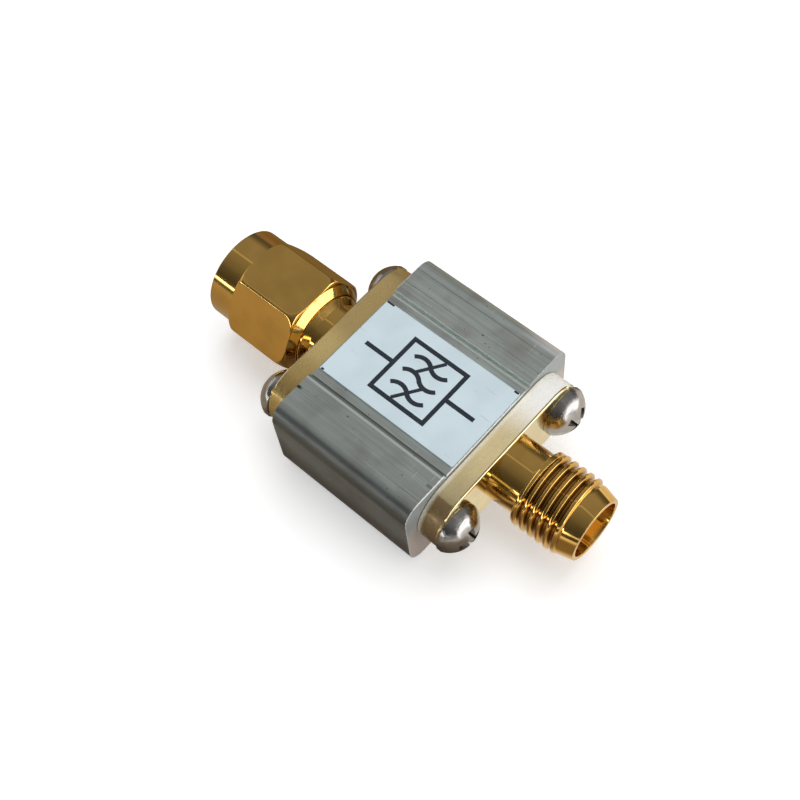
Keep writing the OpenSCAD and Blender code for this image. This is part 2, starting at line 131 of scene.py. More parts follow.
class ConnectorSettings(bpy.types.PropertyGroup):
    flange_length: length("Flange length", "Length across the rounded ends", 16)
    flange_height: length("Flange height", "Height of the flange", 5.7)
    flange_thickness: length("Flange thickness", "Thickness of the flange", 1.9)
    flange_bevel: length("Flange bevel", "Bevel round the outer face", 0.2)
    screw_spacing: length("Screw spacing", "Distance between the two screws", 12.2)
    screw_hole: length("Screw hole", "Radius of the screw holes", 1.1)
    insulator_radius: length("Insulator radius", "Radius of both insulators", 2.05)
    conductor_radius: length("Conductor radius", "Radius of the centre conductors", 0.635)
    tail_radius: length("Tail radius", "Radius of the tails on the board", 0.4)
    neck_radius: length("Neck radius", "Radius of the plug's neck", 2.8)
    neck_length: length("Neck length", "Length of the plug's neck before its cone", 0.8)
    collar_radius: length("Collar radius", "Radius of the plug's collar", 3.3)
    barrel_radius: length("Barrel radius", "Radius of the plug's barrel", 2.75)
    groove_radius: length("Groove radius", "Radius at the snap ring's groove", 2.35)
    ring_opening: length("Ring opening", "Gap between the snap ring's ends", 1.2)
    tube_radius: length("Tube radius", "Radius of the plug's front tube", 2.295)
    seat_radius: length("Seat radius", "Radius of the gasket's seat", 2.595)
    pin_radius: length("Pin radius", "Radius of the pin's tip", 0.455)
    pin_taper: length("Pin taper", "Length of the taper at the pin's tip", 0.3)
    jack_barrel: length("Jack barrel", "Radius of the jack's plain barrel", 2.65)
    jack_barrel_length: length("Jack barrel length", "Length of the plain barrel", 2.63)
    thread_radius: length("Thread radius", "Radius of the jack's thread", 3.175)
    thread_core: length("Thread core", "Radius at the bottom of the thread", 2.84)
    thread_length: length("Thread length", "Length of the jack's thread", 3.8)
    thread_pitch: length("Thread pitch", "Rise of the thread in one turn", 0.7056)
    nose_radius: length("Nose radius", "Radius where the thread runs out on the nose", 2.975)
    rim_radius: length("Rim radius", "Outer radius of the jack's front rim", 2.65)
    mouth_radius: length("Mouth radius", "Radius of the jack's mouth", 2.31)
    socket_radius: length("Socket radius", "Radius of the centre contact's bore", 0.47)
    socket_depth: length("Socket depth", "Depth of the centre contact's bore", 2.2)
    slit_width: length("Slit width", "Width of the contact's slits", 0.14)
    slit_length: length("Slit length", "Length of the contact's slits", 1.8)
    play: length("Play", "Gap between the nut and what holds it along the axis", 0.05)
    plating: colour("Plating", "Colour of the turned gold plating", 0.83, 0.5, 0.13)
    flange_plating: colour("Flange plating", "Colour of the flanges", 0.86, 0.7, 0.38)
    face_plating: colour("Face plating", "Colour of the flanges' polished faces", 0.9, 0.76, 0.42)
    contact_plating: colour("Contact plating", "Colour of the centre contacts", 0.9, 0.62, 0.25)
    insulator: colour("Insulator", "Colour of both insulators", 0.86, 0.86, 0.83)
    spring: colour("Spring", "Colour of the snap ring", 0.45, 0.45, 0.46)
    rubber: colour("Rubber", "Colour of the gasket", 0.42, 0.07, 0.04)


class NutSettings(bpy.types.PropertyGroup):
    flats: length("Flats", "Size across the flats", 7.95)
    corner_radius: length("Corner radius", "Radius to which the corners are turned", 4.63)
    collar_radius: length("Collar radius", "Radius of the round collar", 3.85)
    collar_length: length("Collar length", "Length of the round collar", 2.3)
    collar_step: length("Collar step", "Height of the step behind the collar", 0.06)
    rear_radius: length("Rear radius", "Radius of the rear face", 3.42)
    rear_chamfer: length("Rear chamfer", "Legs of the plain chamfer at the rear", 0.55)
    corner_round: length("Corner round", "Length of the rounded run up to the corners", 1.2)
    bore_radius: length("Bore radius", "Radius of the bore", 3.2)
    mouth_chamfer: length("Mouth chamfer", "Legs of the chamfer at the bore's mouth", 0.2)
    lip_radius: length("Lip radius", "Radius of the inner lip", 2.8)
    lip_thickness: length("Lip thickness", "Thickness of the inner lip", 0.85)
    seat_radius: length("Seat radius", "Radius of the rear seat", 3.35)
    seat_depth: length("Seat depth", "Depth of the rear seat", 0.65)
    thread_depth: length("Thread depth", "Height of the thread's ridges", 0.28)


class ScrewSettings(bpy.types.PropertyGroup):
    head_radius: length("Head radius", "Radius of the domed head", 2.05)
    head_height: length("Head height", "Height of the head", 1.75)
    rim_height: length("Rim height", "Height of the head's straight rim", 0.35)
    cross_span: length("Cross span", "Span of the cross recess", 3.0)
    cross_width: length("Cross width", "Width of one arm of the cross", 0.55)
    cross_depth: length("Cross depth", "Depth of the cross", 1)
    shank_radius: length("Shank radius", "Radius of the shank", 0.8)
    reach: length("Reach", "Length of the shank in the housing", 3.8)
    steel: colour("Steel", "Colour of the screws", 0.46, 0.44, 0.42)


class BoardSettings(bpy.types.PropertyGroup):
    laminate: colour("Laminate", "Colour of the lacquered board", 0.05, 0.2, 0.09)
    copper: colour("Copper", "Colour of the copper", 0.8, 0.5, 0.3)
    solder: colour("Solder", "Colour of the solder", 0.7, 0.71, 0.72)
    ceramic: colour("Ceramic", "Colour of the filter chip", 0.8, 0.75, 0.66)
    lid: colour("Lid", "Colour of the chip's lid", 0.7, 0.68, 0.6)
    capacitor: colour("Capacitor", "Colour of the capacitors", 0.45, 0.3, 0.16)
    coil: colour("Coil", "Colour of the coils", 0.1, 0.12, 0.15)


class StageSettings(bpy.types.PropertyGroup):
    camera_place: FloatVectorProperty(name="Camera", description="Place of the camera",
                                      subtype="TRANSLATION", unit="LENGTH", precision=5,
                                      default=(34.109 * MM, -31.832 * MM, 88.808 * MM))
    azimuth: angle("Azimuth", "Direction of the camera from the object", 46.977)
    elevation: angle("Elevation", "Height of the camera as an angle", 60.997)
    roll: angle("Roll", "Turn of the camera about its view", -6.739)
    pan: angle("Pan", "Turn of the view to the side", 0.9555)
    tilt: angle("Tilt", "Turn of the view upwards", 0.0924)
    lens: FloatProperty(name="Lens", description="Focal length in millimetres", default=57.53)
    floor: colour("Floor", "Colour of the floor", 0.86, 0.86, 0.86)
    sky: share("Sky", "Brightness of the plain surroundings", 0.48)
    lamp: share("Lamp", "Power of the soft lamp above, in watts", 3, 50)
    tent: share("Tent", "Brightness of the reflected tent", 1, 20)
    window: share("Window", "Brightness of the window at the jack's end of the tent", 3, 20)
    floor_glow: share("Floor glow", "Light added where the camera sees the floor", 0.38)


class FilterSettings(bpy.types.PropertyGroup):
    housing: PointerProperty(type=HousingSettings)
    label: PointerProperty(type=LabelSettings)
    connectors: PointerProperty(type=ConnectorSettings)
    nut: PointerProperty(type=NutSettings)
    screws: PointerProperty(type=ScrewSettings)
    board: PointerProperty(type=BoardSettings)
    stage: PointerProperty(type=StageSettings)
    round_steps: IntProperty(name="Round steps", default=144, min=24, max=288,
                             description="Faces round a turned piece")


class Finish:
    """A material and the few steps that its patterns are wired with."""

    def __init__(self, name, base, metallic, roughness):
        self.material = bpy.data.materials.new(name)
        self.material.use_nodes = True
        self.nodes = self.material.node_tree.nodes
        self.links = self.material.node_tree.links
        self.shader = self.nodes["Principled BSDF"]
        self.base = (*base, 1)
        self.colour = self.base
        self.set("Base Color", self.base)
        self.set("Metallic", metallic)
        self.set("Roughness", roughness)
        self.material.diffuse_color = self.base

    def set(self, socket, value):
        self.shader.inputs[socket].default_value = value

    def drive(self, socket, value):
        self.links.new(value, self.shader.inputs[socket])

    def fill(self, socket, value):
        """Gives a node's socket a constant or a link."""
        if isinstance(value, bpy.types.NodeSocket):
            self.links.new(value, socket)
        else:
            socket.default_value = value

    def coords(self, stretch=(1, 1, 1), turn=(0, 0, 0), centre=(0, 0, 0)):
        """The piece's own coordinates in millimetres, stretched and turned."""
        place = self.nodes.new("ShaderNodeTexCoord")
        mapping = self.nodes.new("ShaderNodeMapping")
        mapping.inputs["Scale"].default_value = [part / MM for part in stretch]
        mapping.inputs["Rotation"].default_value = turn
        mapping.inputs["Location"].default_value = [
            -part * size / MM for part, size in zip(centre, stretch)]
        self.links.new(place.outputs["Object"], mapping.inputs["Vector"])
        return mapping.outputs["Vector"]

    def noise(self, scale, detail=3, roughness=0.5, stretch=(1, 1, 1), turn=(0, 0, 0)):
        """Noise over the piece, with scale in spots a millimetre."""
        node = self.nodes.new("ShaderNodeTexNoise")
        self.links.new(self.coords(stretch, turn), node.inputs["Vector"])
        node.inputs["Scale"].default_value = scale
        node.inputs["Detail"].default_value = detail
        node.inputs["Roughness"].default_value = roughness
        return node.outputs["Fac"]

    def place(self, stretch=(1, 1, 1), centre=(0, 0, 0)):
        """X, Y and Z of a spot on the piece, in millimetres from a centre."""
        node = self.nodes.new("ShaderNodeSeparateXYZ")
        self.links.new(self.coords(stretch, centre=centre), node.inputs["Vector"])
        return tuple(node.outputs)

    def math(self, operation, first, second=0.0):
        node = self.nodes.new("ShaderNodeMath")
        node.operation = operation
        self.fill(node.inputs[0], first)
        self.fill(node.inputs[1], second)
        return node.outputs["Value"]

    def times(self, first, second):
        return self.math("MULTIPLY", first, second)

    def plus(self, first, second):
        return self.math("ADD", first, second)

    def minus(self, first, second):
        return self.math("SUBTRACT", first, second)

    def larger(self, first, second):
        return self.math("MAXIMUM", first, second)

    def unsigned(self, value):
        return self.math("ABSOLUTE", value)

    def range(self, value, start, end, low=0.0, high=1.0):
        """Smoothly turns start..end of a value into low..high."""
        node = self.nodes.new("ShaderNodeMapRange")
        node.interpolation_type = "SMOOTHSTEP"
        self.links.new(value, node.inputs["Value"])
        node.inputs["From Min"].default_value = start
        node.inputs["From Max"].default_value = end
        node.inputs["To Min"].default_value = low
        node.inputs["To Max"].default_value = high
        return node.outputs["Result"]

    def blend(self, amount, first, second, kind="MIX"):
        """Mixes two colours by an amount."""
        node = self.nodes.new("ShaderNodeMix")
        node.data_type = "RGBA"
        node.blend_type = kind
        self.fill(node.inputs[0], amount)
        self.fill(node.inputs[6], first)
        self.fill(node.inputs[7], second)
        return node.outputs[2]

    def tone(self, shade):
        """The base colour made lighter or darker."""
        return tuple(min(1, part * shade) for part in self.base[:3]) + (1,)

    def mottle(self, amount, low, high):
        """Starts the colour as two shades of the base colour."""
        self.colour = self.blend(amount, self.tone(low), self.tone(high))
        self.drive("Base Color", self.colour)

    def layer(self, amount, colour):
        """Lays a colour, or a shade of the base colour, over the colour so far."""
        if isinstance(colour, (int, float)):
            colour = self.tone(colour)
        self.colour = self.blend(amount, self.colour, colour)
        self.drive("Base Color", self.colour)

    def show(self, shader):
        """Makes a shader the surface, in place of the usual one."""
        self.links.new(shader, self.nodes["Material Output"].inputs["Surface"])

    def relief(self, height, depth):
        """Bumps the surface; depth is in millimetres."""
        node = self.nodes.new("ShaderNodeBump")
        node.inputs["Distance"].default_value = depth * MM
        self.links.new(height, node.inputs["Height"])
        self.drive("Normal", node.outputs["Normal"])


def shared(name, make, *values, **named):
    """The finish of that name, made when it is first asked for."""
    return bpy.data.materials.get(name) or make(name, *values, **named)


def polished_plating(name, base, roughness, thread=None):
    """Gold plating with soft polishing marks, faint pits and small changes of tone, and painted
    shade deep in the grooves when a thread is given.
    """
    finish = Finish(name, base, 1, roughness)
    clouds = finish.noise(0.45, 2)
    marks = finish.noise(1.6, 4, 0.6, stretch=(9, 1, 1))
    fine = finish.noise(26, 2, 0.6)
    pits = finish.range(finish.noise(7, 3, 0.6), 0.68, 0.76)
    finish.mottle(finish.range(clouds, 0.35, 0.65), 0.93, 1.05)
    finish.layer(finish.range(fine, 0.45, 0.75, 0, 0.5), 0.86)
    finish.layer(pits, 0.55)
    # painted shade: darker brown deep in the jack's thread grooves
    if thread:
        painted_groove_shade = (0.22, 0.1, 0.02, 1)
        finish.layer(groove_shade(finish, *thread), painted_groove_shade)
    rough = finish.range(marks, 0.3, 0.7, roughness * 0.75, roughness * 1.35)
    finish.drive("Roughness", finish.plus(rough, finish.times(pits, 0.2)))
    finish.relief(finish.plus(finish.times(marks, 0.5), clouds), 0.003)
    return finish.material


def groove_shade(finish, rear, front, core, crest):
    """How much painted shade a place gets from lying deep in the grooves of the jack's thread, all
    in millimetres.
    """
    x, y, z = finish.place(centre=(0, 0, AXIS_HEIGHT))
    radius = finish.math("SQRT", finish.plus(finish.times(y, y), finish.times(z, z)))
    outside = finish.range(radius, core - 0.3, core - 0.2)
    deep = finish.times(finish.range(radius, core + 0.04, crest - 0.04, 0.7, 0), outside)
    along = finish.times(finish.range(x, rear + 0.3, rear + 0.5),
                         finish.range(x, front, front - 0.2))
    return finish.times(deep, along)


def milled_plating(name, settings):
    """Pale gold on the milled flanges: satin, with a fine grain; on the jack's flange a painted
    highlight paling it towards the far end and painted shade on its near side and rounded near
    end; on the plug's flange a warmer gold with painted shade towards its near end and a painted
    highlight band; paler along the jack's flange next to the housing, and a dark seam at the
    housing.
    """
    painted_far_highlight = (1, 0.98, 0.93, 1)
    shaded = (0.1, 0.08, 0.03, 1)
    brown = (0.16, 0.08, 0.025, 1)
    warm = (0.62, 0.42, 0.14, 1)
    olive = (0.4, 0.25, 0.04, 1)
    bright = (1, 0.76, 0.32, 1)
    pale_lip = (1, 0.95, 0.8, 1)
    seam_dark = (0.06, 0.05, 0.03, 1)
    finish = Finish(name, settings.flange_plating, 0.5, 0.3)
    grain = finish.noise(9, 1)
    clouds = finish.noise(0.5, stretch=(1, 0.6, 1))
    marks = finish.noise(3, 1, stretch=(1, 0.4, 1))
    x, y, _ = finish.place()
    jack_side = finish.range(x, -4, 4)
    plug_side = finish.range(jack_side, 0, 1, 0.7, 0)
    highlit_far_end = finish.times(finish.range(y, 0, 4.5), jack_side)
    finish.mottle(finish.range(clouds, 0.3, 0.7), 0.92, 1.05)
    finish.layer(finish.range(grain, 0.4, 0.75, 0, 0.3), 0.86)
    # painted highlight: the jack's flange pales towards its far end
    finish.layer(highlit_far_end, painted_far_highlight)
    # painted shade: the jack's flange darker towards its near side
    finish.layer(finish.times(finish.range(y, -7, -0.5, 0.55, 0.08), jack_side), shaded)
    # painted shade: the rounded near end of the jack's flange in dark brown
    uneven = finish.plus(y, finish.times(marks, 0.15))
    finish.layer(finish.times(finish.range(uneven, -5.75, -5.9, 0, 0.7), jack_side), brown)
    finish.layer(plug_side, warm)
    # painted shade: the plug's flange darker towards its near end
    finish.layer(finish.times(finish.range(y, -5.8, -3, 0.6, 0), plug_side), olive)
    # painted highlight: a bright band across the plug's flange
    from_glow = finish.unsigned(finish.plus(y, 2))
    finish.layer(finish.times(finish.range(from_glow, 0.4, 2.4, 0.8, 0), plug_side), bright)
    # paler along the jack's flange next to the housing
    beyond = finish.minus(finish.unsigned(x), housing_high.x / MM)
    finish.layer(finish.times(finish.range(beyond, 0.12, 0.5, 0.75, 0), jack_side), pale_lip)
    finish.layer(finish.range(beyond, 0.05, 0.1, 0.8, 0), seam_dark)
    # less metallic under the painted highlight, so that it stays pale
    bare_or_highlit = finish.range(highlit_far_end, 0, 1, 0.45, 0.15)
    finish.drive("Metallic", finish.plus(bare_or_highlit, finish.range(jack_side, 0, 1, 0.3, 0)))
    finish.drive("Roughness", finish.range(marks, 0.3, 0.7, 0.24, 0.38))
    finish.relief(marks, 0.004)
    return finish.material


def extruded_metal(settings):
    """Extruded aluminium: fine lengthwise lines, pits, scratches, stains and worn ends, with a
    painted reflection on the sawn ends and painted shade and highlights on the top and the near
    side.
    """
    finish = Finish("extruded_metal", settings.metal, 0.8, 0.36)
    lines = finish.noise(5.5, 5, 0.65, stretch=(0.035, 1, 1))
    streaks = finish.noise(1.5, stretch=(0.02, 1, 1))
    clouds = finish.noise(0.35)
    specks = finish.noise(4.2, 2, 0.4, stretch=(0.7, 1, 1))
    scratches = finish.noise(3, 2, stretch=(1, 0.08, 0.3), turn=(0, 0, 0.9))
    pits = finish.range(specks, 0.71, 0.77)
    place = finish.place()
    finish.mottle(finish.range(lines, 0.3, 0.7), 0.82, 1.12)
    finish.layer(finish.range(streaks, 0.35, 0.7, 0, 0.5), 0.75)
    finish.layer(finish.range(clouds, 0.45, 0.75, 0, 0.35), (*settings.stain, 1))
    finish.layer(pits, 0.4)
    finish.layer(finish.range(scratches, 0.7, 0.76), 1.4)
    drawn_lines(finish, place, specks, streaks)
    painted_light_and_end_marks(finish, place)
    bare_or_highlit = sawn_ends(finish, place, specks, clouds, settings)
    finish.drive("Metallic", finish.range(bare_or_highlit, 0, 1, 0.8, 0.1))
    rough = finish.range(lines, 0.25, 0.75, 0.3, 0.5)
    finish.drive("Roughness", finish.plus(rough, finish.times(pits, 0.3)))
    height = finish.plus(lines, finish.times(streaks, 0.6))
    finish.relief(finish.minus(height, finish.times(pits, 1.5)), 0.012)
    return finish.material


def drawn_lines(finish, place, specks, streaks):
    """Broken dark lines along the top, two at each side, left by the die."""
    inner_line, outer_line = 5.9, 7.35
    across = finish.unsigned(place[1])
    for line in (inner_line, outer_line):
        offset = finish.unsigned(finish.minus(across, line))
        frayed = finish.plus(offset, finish.times(specks, 0.06))
        broken = finish.times(finish.range(frayed, 0.05, 0.08, 1, 0),
                              finish.range(streaks, 0.35, 0.6))
        finish.layer(finish.times(broken, 0.75), 0.35)


def painted_light_and_end_marks(finish, place):
    """Painted shade on the near side, its wall and rounding and in the near groove, painted
    highlights on the strips by the band's grooves and at the far corner, and small dark marks at
    the ends.
    """
    groove_line = 5
    mark_line = 6.02
    mark_black = (0.02, 0.02, 0.025, 1)
    painted_wall_shade = (0.2, 0.16, 0.12, 1)
    x, y, z = place
    # painted shade: the top darker towards the near side
    finish.layer(finish.range(y, -2, -5, 0, 0.2), 0.35)
    # painted highlight: a paler strip by the far groove
    far_strip = finish.times(finish.range(y, 4.35, 4.5), finish.range(y, 4.82, 4.74))
    finish.layer(far_strip, 1.5)
    # painted shade: darker in the near groove
    near_groove = finish.times(finish.range(y, -4.52, -4.62),
                               finish.range(y, -4.92, -4.82, 0, 0.75))
    finish.layer(near_groove, 0.3)
    # painted highlight: a light line along the near groove's outer edge
    from_line = finish.unsigned(finish.plus(y, groove_line))
    finish.layer(finish.range(from_line, 0.05, 0.14, 0.6, 0), 1.6)
    # painted highlight: the far rounding lighter towards the jack's end
    far_corner = finish.times(finish.range(y, 7.6, 8), finish.range(x, 2, 6, 0, 0.9))
    finish.layer(far_corner, 2.1)
    from_mark = finish.unsigned(finish.plus(y, mark_line))
    at_ends = finish.plus(finish.range(x, -6, -6.35, 0, 0.92),
                          finish.range(x, 5.95, 6.05, 0, 0.45))
    finish.layer(finish.times(finish.range(from_mark, 0.17, 0.07), at_ends), mark_black)
    # painted shade: the near wall darker brown, most towards the bottom
    near_wall = finish.times(finish.range(y, -8.6, -8.9, 0, 0.6),
                             finish.range(z, 2, 5, 1, 0.35))
    finish.layer(near_wall, painted_wall_shade)
    # painted shade: the near rounding darker
    rounding = finish.times(finish.range(y, -7.95, -8.35), finish.range(z, 6.3, 7))
    finish.layer(finish.times(rounding, 0.75), 0.12)


def sawn_ends(finish, place, specks, clouds, settings):
    """The sawn end faces, with a painted reflection running from warm pale low down to grey higher
    up, and their worn bright rim; returns how much of the metal is sawn or worn.
    """
    sawn_reflection_low = (0.8, 0.7, 0.63, 1)
    sawn_reflection_high = (0.45, 0.49, 0.49, 1)
    worn_white = (1, 1, 0.98, 1)
    half = housing_high.x / MM
    band_edge = settings.band_width / 2 / MM
    top = housing_high.z / MM
    floor = top - settings.band_depth / MM
    x, y, z = place
    along = finish.unsigned(x)
    worn_at_jack = finish.times(finish.range(x, -1, 1), finish.range(y, 4.8, 3.6))
    worn_at_plug = finish.times(finish.range(x, 1, -1, 0, 0.45), finish.range(y, 4.9, 5.1))
    worn_part = finish.plus(worn_at_jack, worn_at_plug)
    frayed = finish.plus(along, finish.times(specks, 0.1))
    worn_top = finish.times(finish.range(frayed, half - 0.05, half + 0.04), worn_part)
    level = finish.range(finish.unsigned(y), band_edge - 0.01, band_edge + 0.01, floor, top)
    rim = finish.times(finish.range(finish.minus(level, z), 0.16, 0.08), worn_part)
    sawn = finish.range(along, half - 0.012, half - 0.004)
    height = finish.plus(z, finish.times(clouds, 3))
    # painted reflection: the sawn face warm and pale low down, grey higher up
    finish.layer(sawn, finish.blend(finish.range(height, 4.5, 8), sawn_reflection_low, sawn_reflection_high))
    worn = finish.plus(finish.times(rim, sawn),
                       finish.times(worn_top, finish.minus(1.0, sawn)))
    finish.layer(worn, worn_white)
    return finish.larger(finish.times(sawn, 0.6), worn)


def label_film(settings):
    """Pale metallic-looking film with a fine grain, faint scuffs and slightly darker long edges.
    """
    scuff_grey = (0.42, 0.46, 0.5, 1)
    half = settings.width / 2 / MM
    finish = Finish("label_film", settings.film, 0, 0.36)
    grain = finish.noise(22, 3, 0.6)
    clouds = finish.noise(0.3, 2)
    scuffs = finish.noise(3.2, stretch=(0.15, 1, 1), turn=(0, 0, 0.5))
    across = finish.unsigned(finish.place()[1])
    finish.mottle(finish.range(clouds, 0.3, 0.7), 0.95, 1.05)
    finish.layer(finish.range(grain, 0.4, 0.75, 0, 0.35), 0.88)
    finish.layer(finish.range(scuffs, 0.66, 0.74, 0, 0.4), scuff_grey)
    finish.layer(finish.times(finish.range(across, half - 0.12, half), 0.5), 0.7)
    finish.drive("Roughness", finish.range(grain, 0.3, 0.7, 0.3, 0.45))
    finish.relief(grain, 0.002)
    finish.set("Coat Weight", 0.15)
    return finish.material


def printed_ink(settings):
    """Slightly uneven dark print."""
    finish = Finish("printed_ink", settings.ink, 0, 0.45)
    patches = finish.noise(9, 4, 0.6)
    finish.mottle(finish.range(patches, 0.35, 0.75), 0.8, 2.2)
    finish.drive("Roughness", finish.range(patches, 0.3, 0.7, 0.38, 0.55))
    return finish.material


def bright_steel(name, base, roughness):
    """Polished steel with small scratches and slow changes of tone."""
    finish = Finish(name, base, 1, roughness)
    clouds = finish.noise(0.8)
    scratches = finish.noise(9, 4, 0.6, stretch=(1, 0.25, 1), turn=(0.7, 0, 0))
    finish.mottle(finish.range(clouds, 0.3, 0.7), 0.85, 1.1)
    finish.drive("Roughness",
                 finish.range(scratches, 0.3, 0.7, roughness * 0.7, roughness * 1.5))
    finish.relief(finish.plus(scratches, clouds), 0.012)
    return finish.material


def moulded(name, base, roughness, grain_scale, depth, metallic=0.0):
    """A plain body with a fine grain, depth millimetres deep, and a slow change of tone."""
    finish = Finish(name, base, metallic, roughness)
    grain = finish.noise(grain_scale, 4, 0.6)
    clouds = finish.noise(0.9, 2)
    finish.mottle(finish.range(clouds, 0.3, 0.7), 0.9, 1.06)
    finish.layer(finish.range(grain, 0.35, 0.75, 0, 0.5), 0.82)
    finish.drive("Roughness", finish.range(grain, 0.3, 0.7, roughness * 0.85, roughness * 1.15))
    finish.relief(grain, depth)
    return finish.material


def board_laminate(base):
    """Green board with its glass weave under the lacquer."""
    threads_per_mm = 2.2
    finish = Finish("board_laminate", base, 0, 0.4)
    x, y, _ = finish.place(stretch=(threads_per_mm,) * 3)
    weave = finish.times(finish.math("SINE", finish.times(x, math.pi)),
                         finish.math("SINE", finish.times(y, math.pi)))
    clouds = finish.noise(1.2)
    finish.mottle(finish.range(weave, -0.8, 0.8), 0.85, 1.2)
    finish.layer(finish.range(clouds, 0.4, 0.7, 0, 0.4), 0.7)
    finish.drive("Roughness", finish.range(clouds, 0.3, 0.7, 0.3, 0.5))
    finish.relief(weave, 0.003)
    return finish.material


def shell_finishes(sizes):
    """Finishes of a connector body: turned parts, the flange's sides, its polished face."""
    rear = housing_high.x + sizes.flange_thickness + sizes.jack_barrel_length
    front = rear + sizes.thread_length
    thread = [place / MM for place in (rear, front, sizes.thread_core, sizes.thread_radius)]
    return [shared("shell_plating", polished_plating, sizes.plating, roughness=0.08,
                   thread=thread),
            shared("flange_plating", milled_plating, sizes),
            shared("flange_face_plating", polished_plating, sizes.face_plating,
                   roughness=0.12)]


def insulator_white(sizes):
    """The white plastic of both insulators."""
    return shared("insulator_white", moulded, sizes.insulator, roughness=0.42, grain_scale=5,
                  depth=0.004)


def contact_gold(sizes):
    """The plating of the pin and of the slit contact."""
    return shared("contact_gold", polished_plating, sizes.contact_plating, roughness=0.18)


def outline(bm, points):
    """A closed wire through points given as (x, y, z); returns its vertices and edges."""
    corners = [bm.verts.new(point) for point in points]
    sides = [bm.edges.new((corners[i - 1], corners[i])) for i in range(len(corners))]
    return corners, sides


def on_axis(profile):
    """Points above the connector's axis for pairs of (place along X, radius)."""
    return [(x, 0, AXIS_HEIGHT + radius) for x, radius in profile]


def turned(bm, profile, steps):
    """Spins a closed profile of (place along X, radius) about the connector's axis."""
    corners, sides = outline(bm, on_axis(profile))
    bmesh.ops.spin(bm, geom=corners + sides, cent=(0, 0, AXIS_HEIGHT), axis=(1, 0, 0),
                   angle=math.tau, steps=steps, use_merge=True)
    bmesh.ops.remove_doubles(bm, verts=bm.verts[:], dist=NUDGE / 10)
    bmesh.ops.recalc_face_normals(bm, faces=bm.faces[:])


def swept(bm, profile, turn, steps, rise=0):
    """Spins a closed section about the axis without closing it, with a rise for each step."""
    corners, _ = outline(bm, on_axis(profile))
    section = bm.faces.new(corners)
    bmesh.ops.spin(bm, geom=[section], cent=(0, 0, AXIS_HEIGHT), axis=(1, 0, 0),
                   dvec=(rise, 0, 0), angle=turn, steps=steps, use_merge=False)
    bmesh.ops.recalc_face_normals(bm, faces=bm.faces[:])


def soften(bm, width, sharper_than=0.3, keep=None, segments=3):
    """Rounds the edges that turn by more than an angle, where keep says so."""
    edges = [edge for edge in bm.edges
             if len(edge.link_faces) == 2 and edge.calc_face_angle() > sharper_than
             and (keep is None or keep(edge))]
    bmesh.ops.bevel(bm, geom=edges, offset=width, offset_type="OFFSET", segments=segments,
                    profile=0.5, affect="EDGES", material=-1, clamp_overlap=True)
    bmesh.ops.dissolve_degenerate(bm, dist=NUDGE / 10, edges=bm.edges[:])


def middle_of(edge):
    return (edge.verts[0].co + edge.verts[1].co) / 2


def lowest(edge):
    return min(vert.co.z for vert in edge.verts)


def verts_of(result):
    """The vertices among what an extrusion made."""
    return [item for item in result["geom"] if isinstance(item, bmesh.types.BMVert)]


def radius_of(vert):
    return math.hypot(vert.co.y, vert.co.z - AXIS_HEIGHT)


def pull_in(vert, radius):
    """Moves a vertex towards the axis, to a radius."""
    part = radius / radius_of(vert)
    vert.co.y *= part
    vert.co.z = AXIS_HEIGHT + (vert.co.z - AXIS_HEIGHT) * part


def merge_into(bm, other):
    """Moves another bmesh's geometry into this one."""
    mesh = bpy.data.meshes.new("merged")
    other.to_mesh(mesh)
    other.free()
    bm.from_mesh(mesh)
    bpy.data.meshes.remove(mesh)


def mesh_object(bm, name):
    """An object at the origin with the finished mesh."""
    mesh = bpy.data.meshes.new(name)
    bm.to_mesh(mesh)
    bm.free()
    mesh.shade_smooth()
    piece = bpy.data.objects.new(name, mesh)
    bpy.context.scene.collection.objects.link(piece)
    return piece


def dress(piece, body, slot, materials, *nodes):
    """Gives a piece its finish, flat-face normals, and its place in the frame."""
    for material in materials:
        piece.data.materials.append(material)
    piece.data.set_sharp_from_angle(angle=math.radians(50))
    normals = piece.modifiers.new("flat_faces", "WEIGHTED_NORMAL")
    normals.keep_sharp = True
    normals.weight = 100
    normals.thresh = 0.01 * MM * MM
    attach(piece, body)
    if nodes:
        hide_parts(*nodes)


def carved(piece, cutters):
    """Cuts the cutters out of a piece and keeps the result as its mesh."""
    for cutter in cutters:
        cut = piece.modifiers.new("cut", "BOOLEAN")
        cut.operation = "DIFFERENCE"
        cut.solver = "EXACT"
        cut.object = cutter
    graph = bpy.context.evaluated_depsgraph_get()
    mesh = bpy.data.meshes.new_from_object(piece.evaluated_get(graph))
    piece.modifiers.clear()
    old = piece.data
    piece.data = mesh
    bpy.data.meshes.remove(old)
    mesh.name = piece.name
    for cutter in cutters:
        shape = cutter.data
        bpy.data.objects.remove(cutter)
        bpy.data.meshes.remove(shape)


def add_circle(bm, x, y, z, radius, segments):
    """A wire circle across X."""
    place = Matrix.Translation((x, y, z)) @ Matrix.Rotation(math.pi / 2, 4, "Y")
    bmesh.ops.create_circle(bm, cap_ends=False, radius=radius, segments=segments,
                            matrix=place)


def thicken(bm, depth):
    """Fills the wires drawn so far and pulls them along X."""
    bmesh.ops.triangle_fill(bm, use_beauty=True, use_dissolve=False, edges=bm.edges[:])
    pulled = bmesh.ops.extrude_face_region(bm, geom=bm.faces[:], use_keep_orig=True)
    bmesh.ops.translate(bm, verts=verts_of(pulled), vec=(depth, 0, 0))
    bmesh.ops.recalc_face_normals(bm, faces=bm.faces[:])


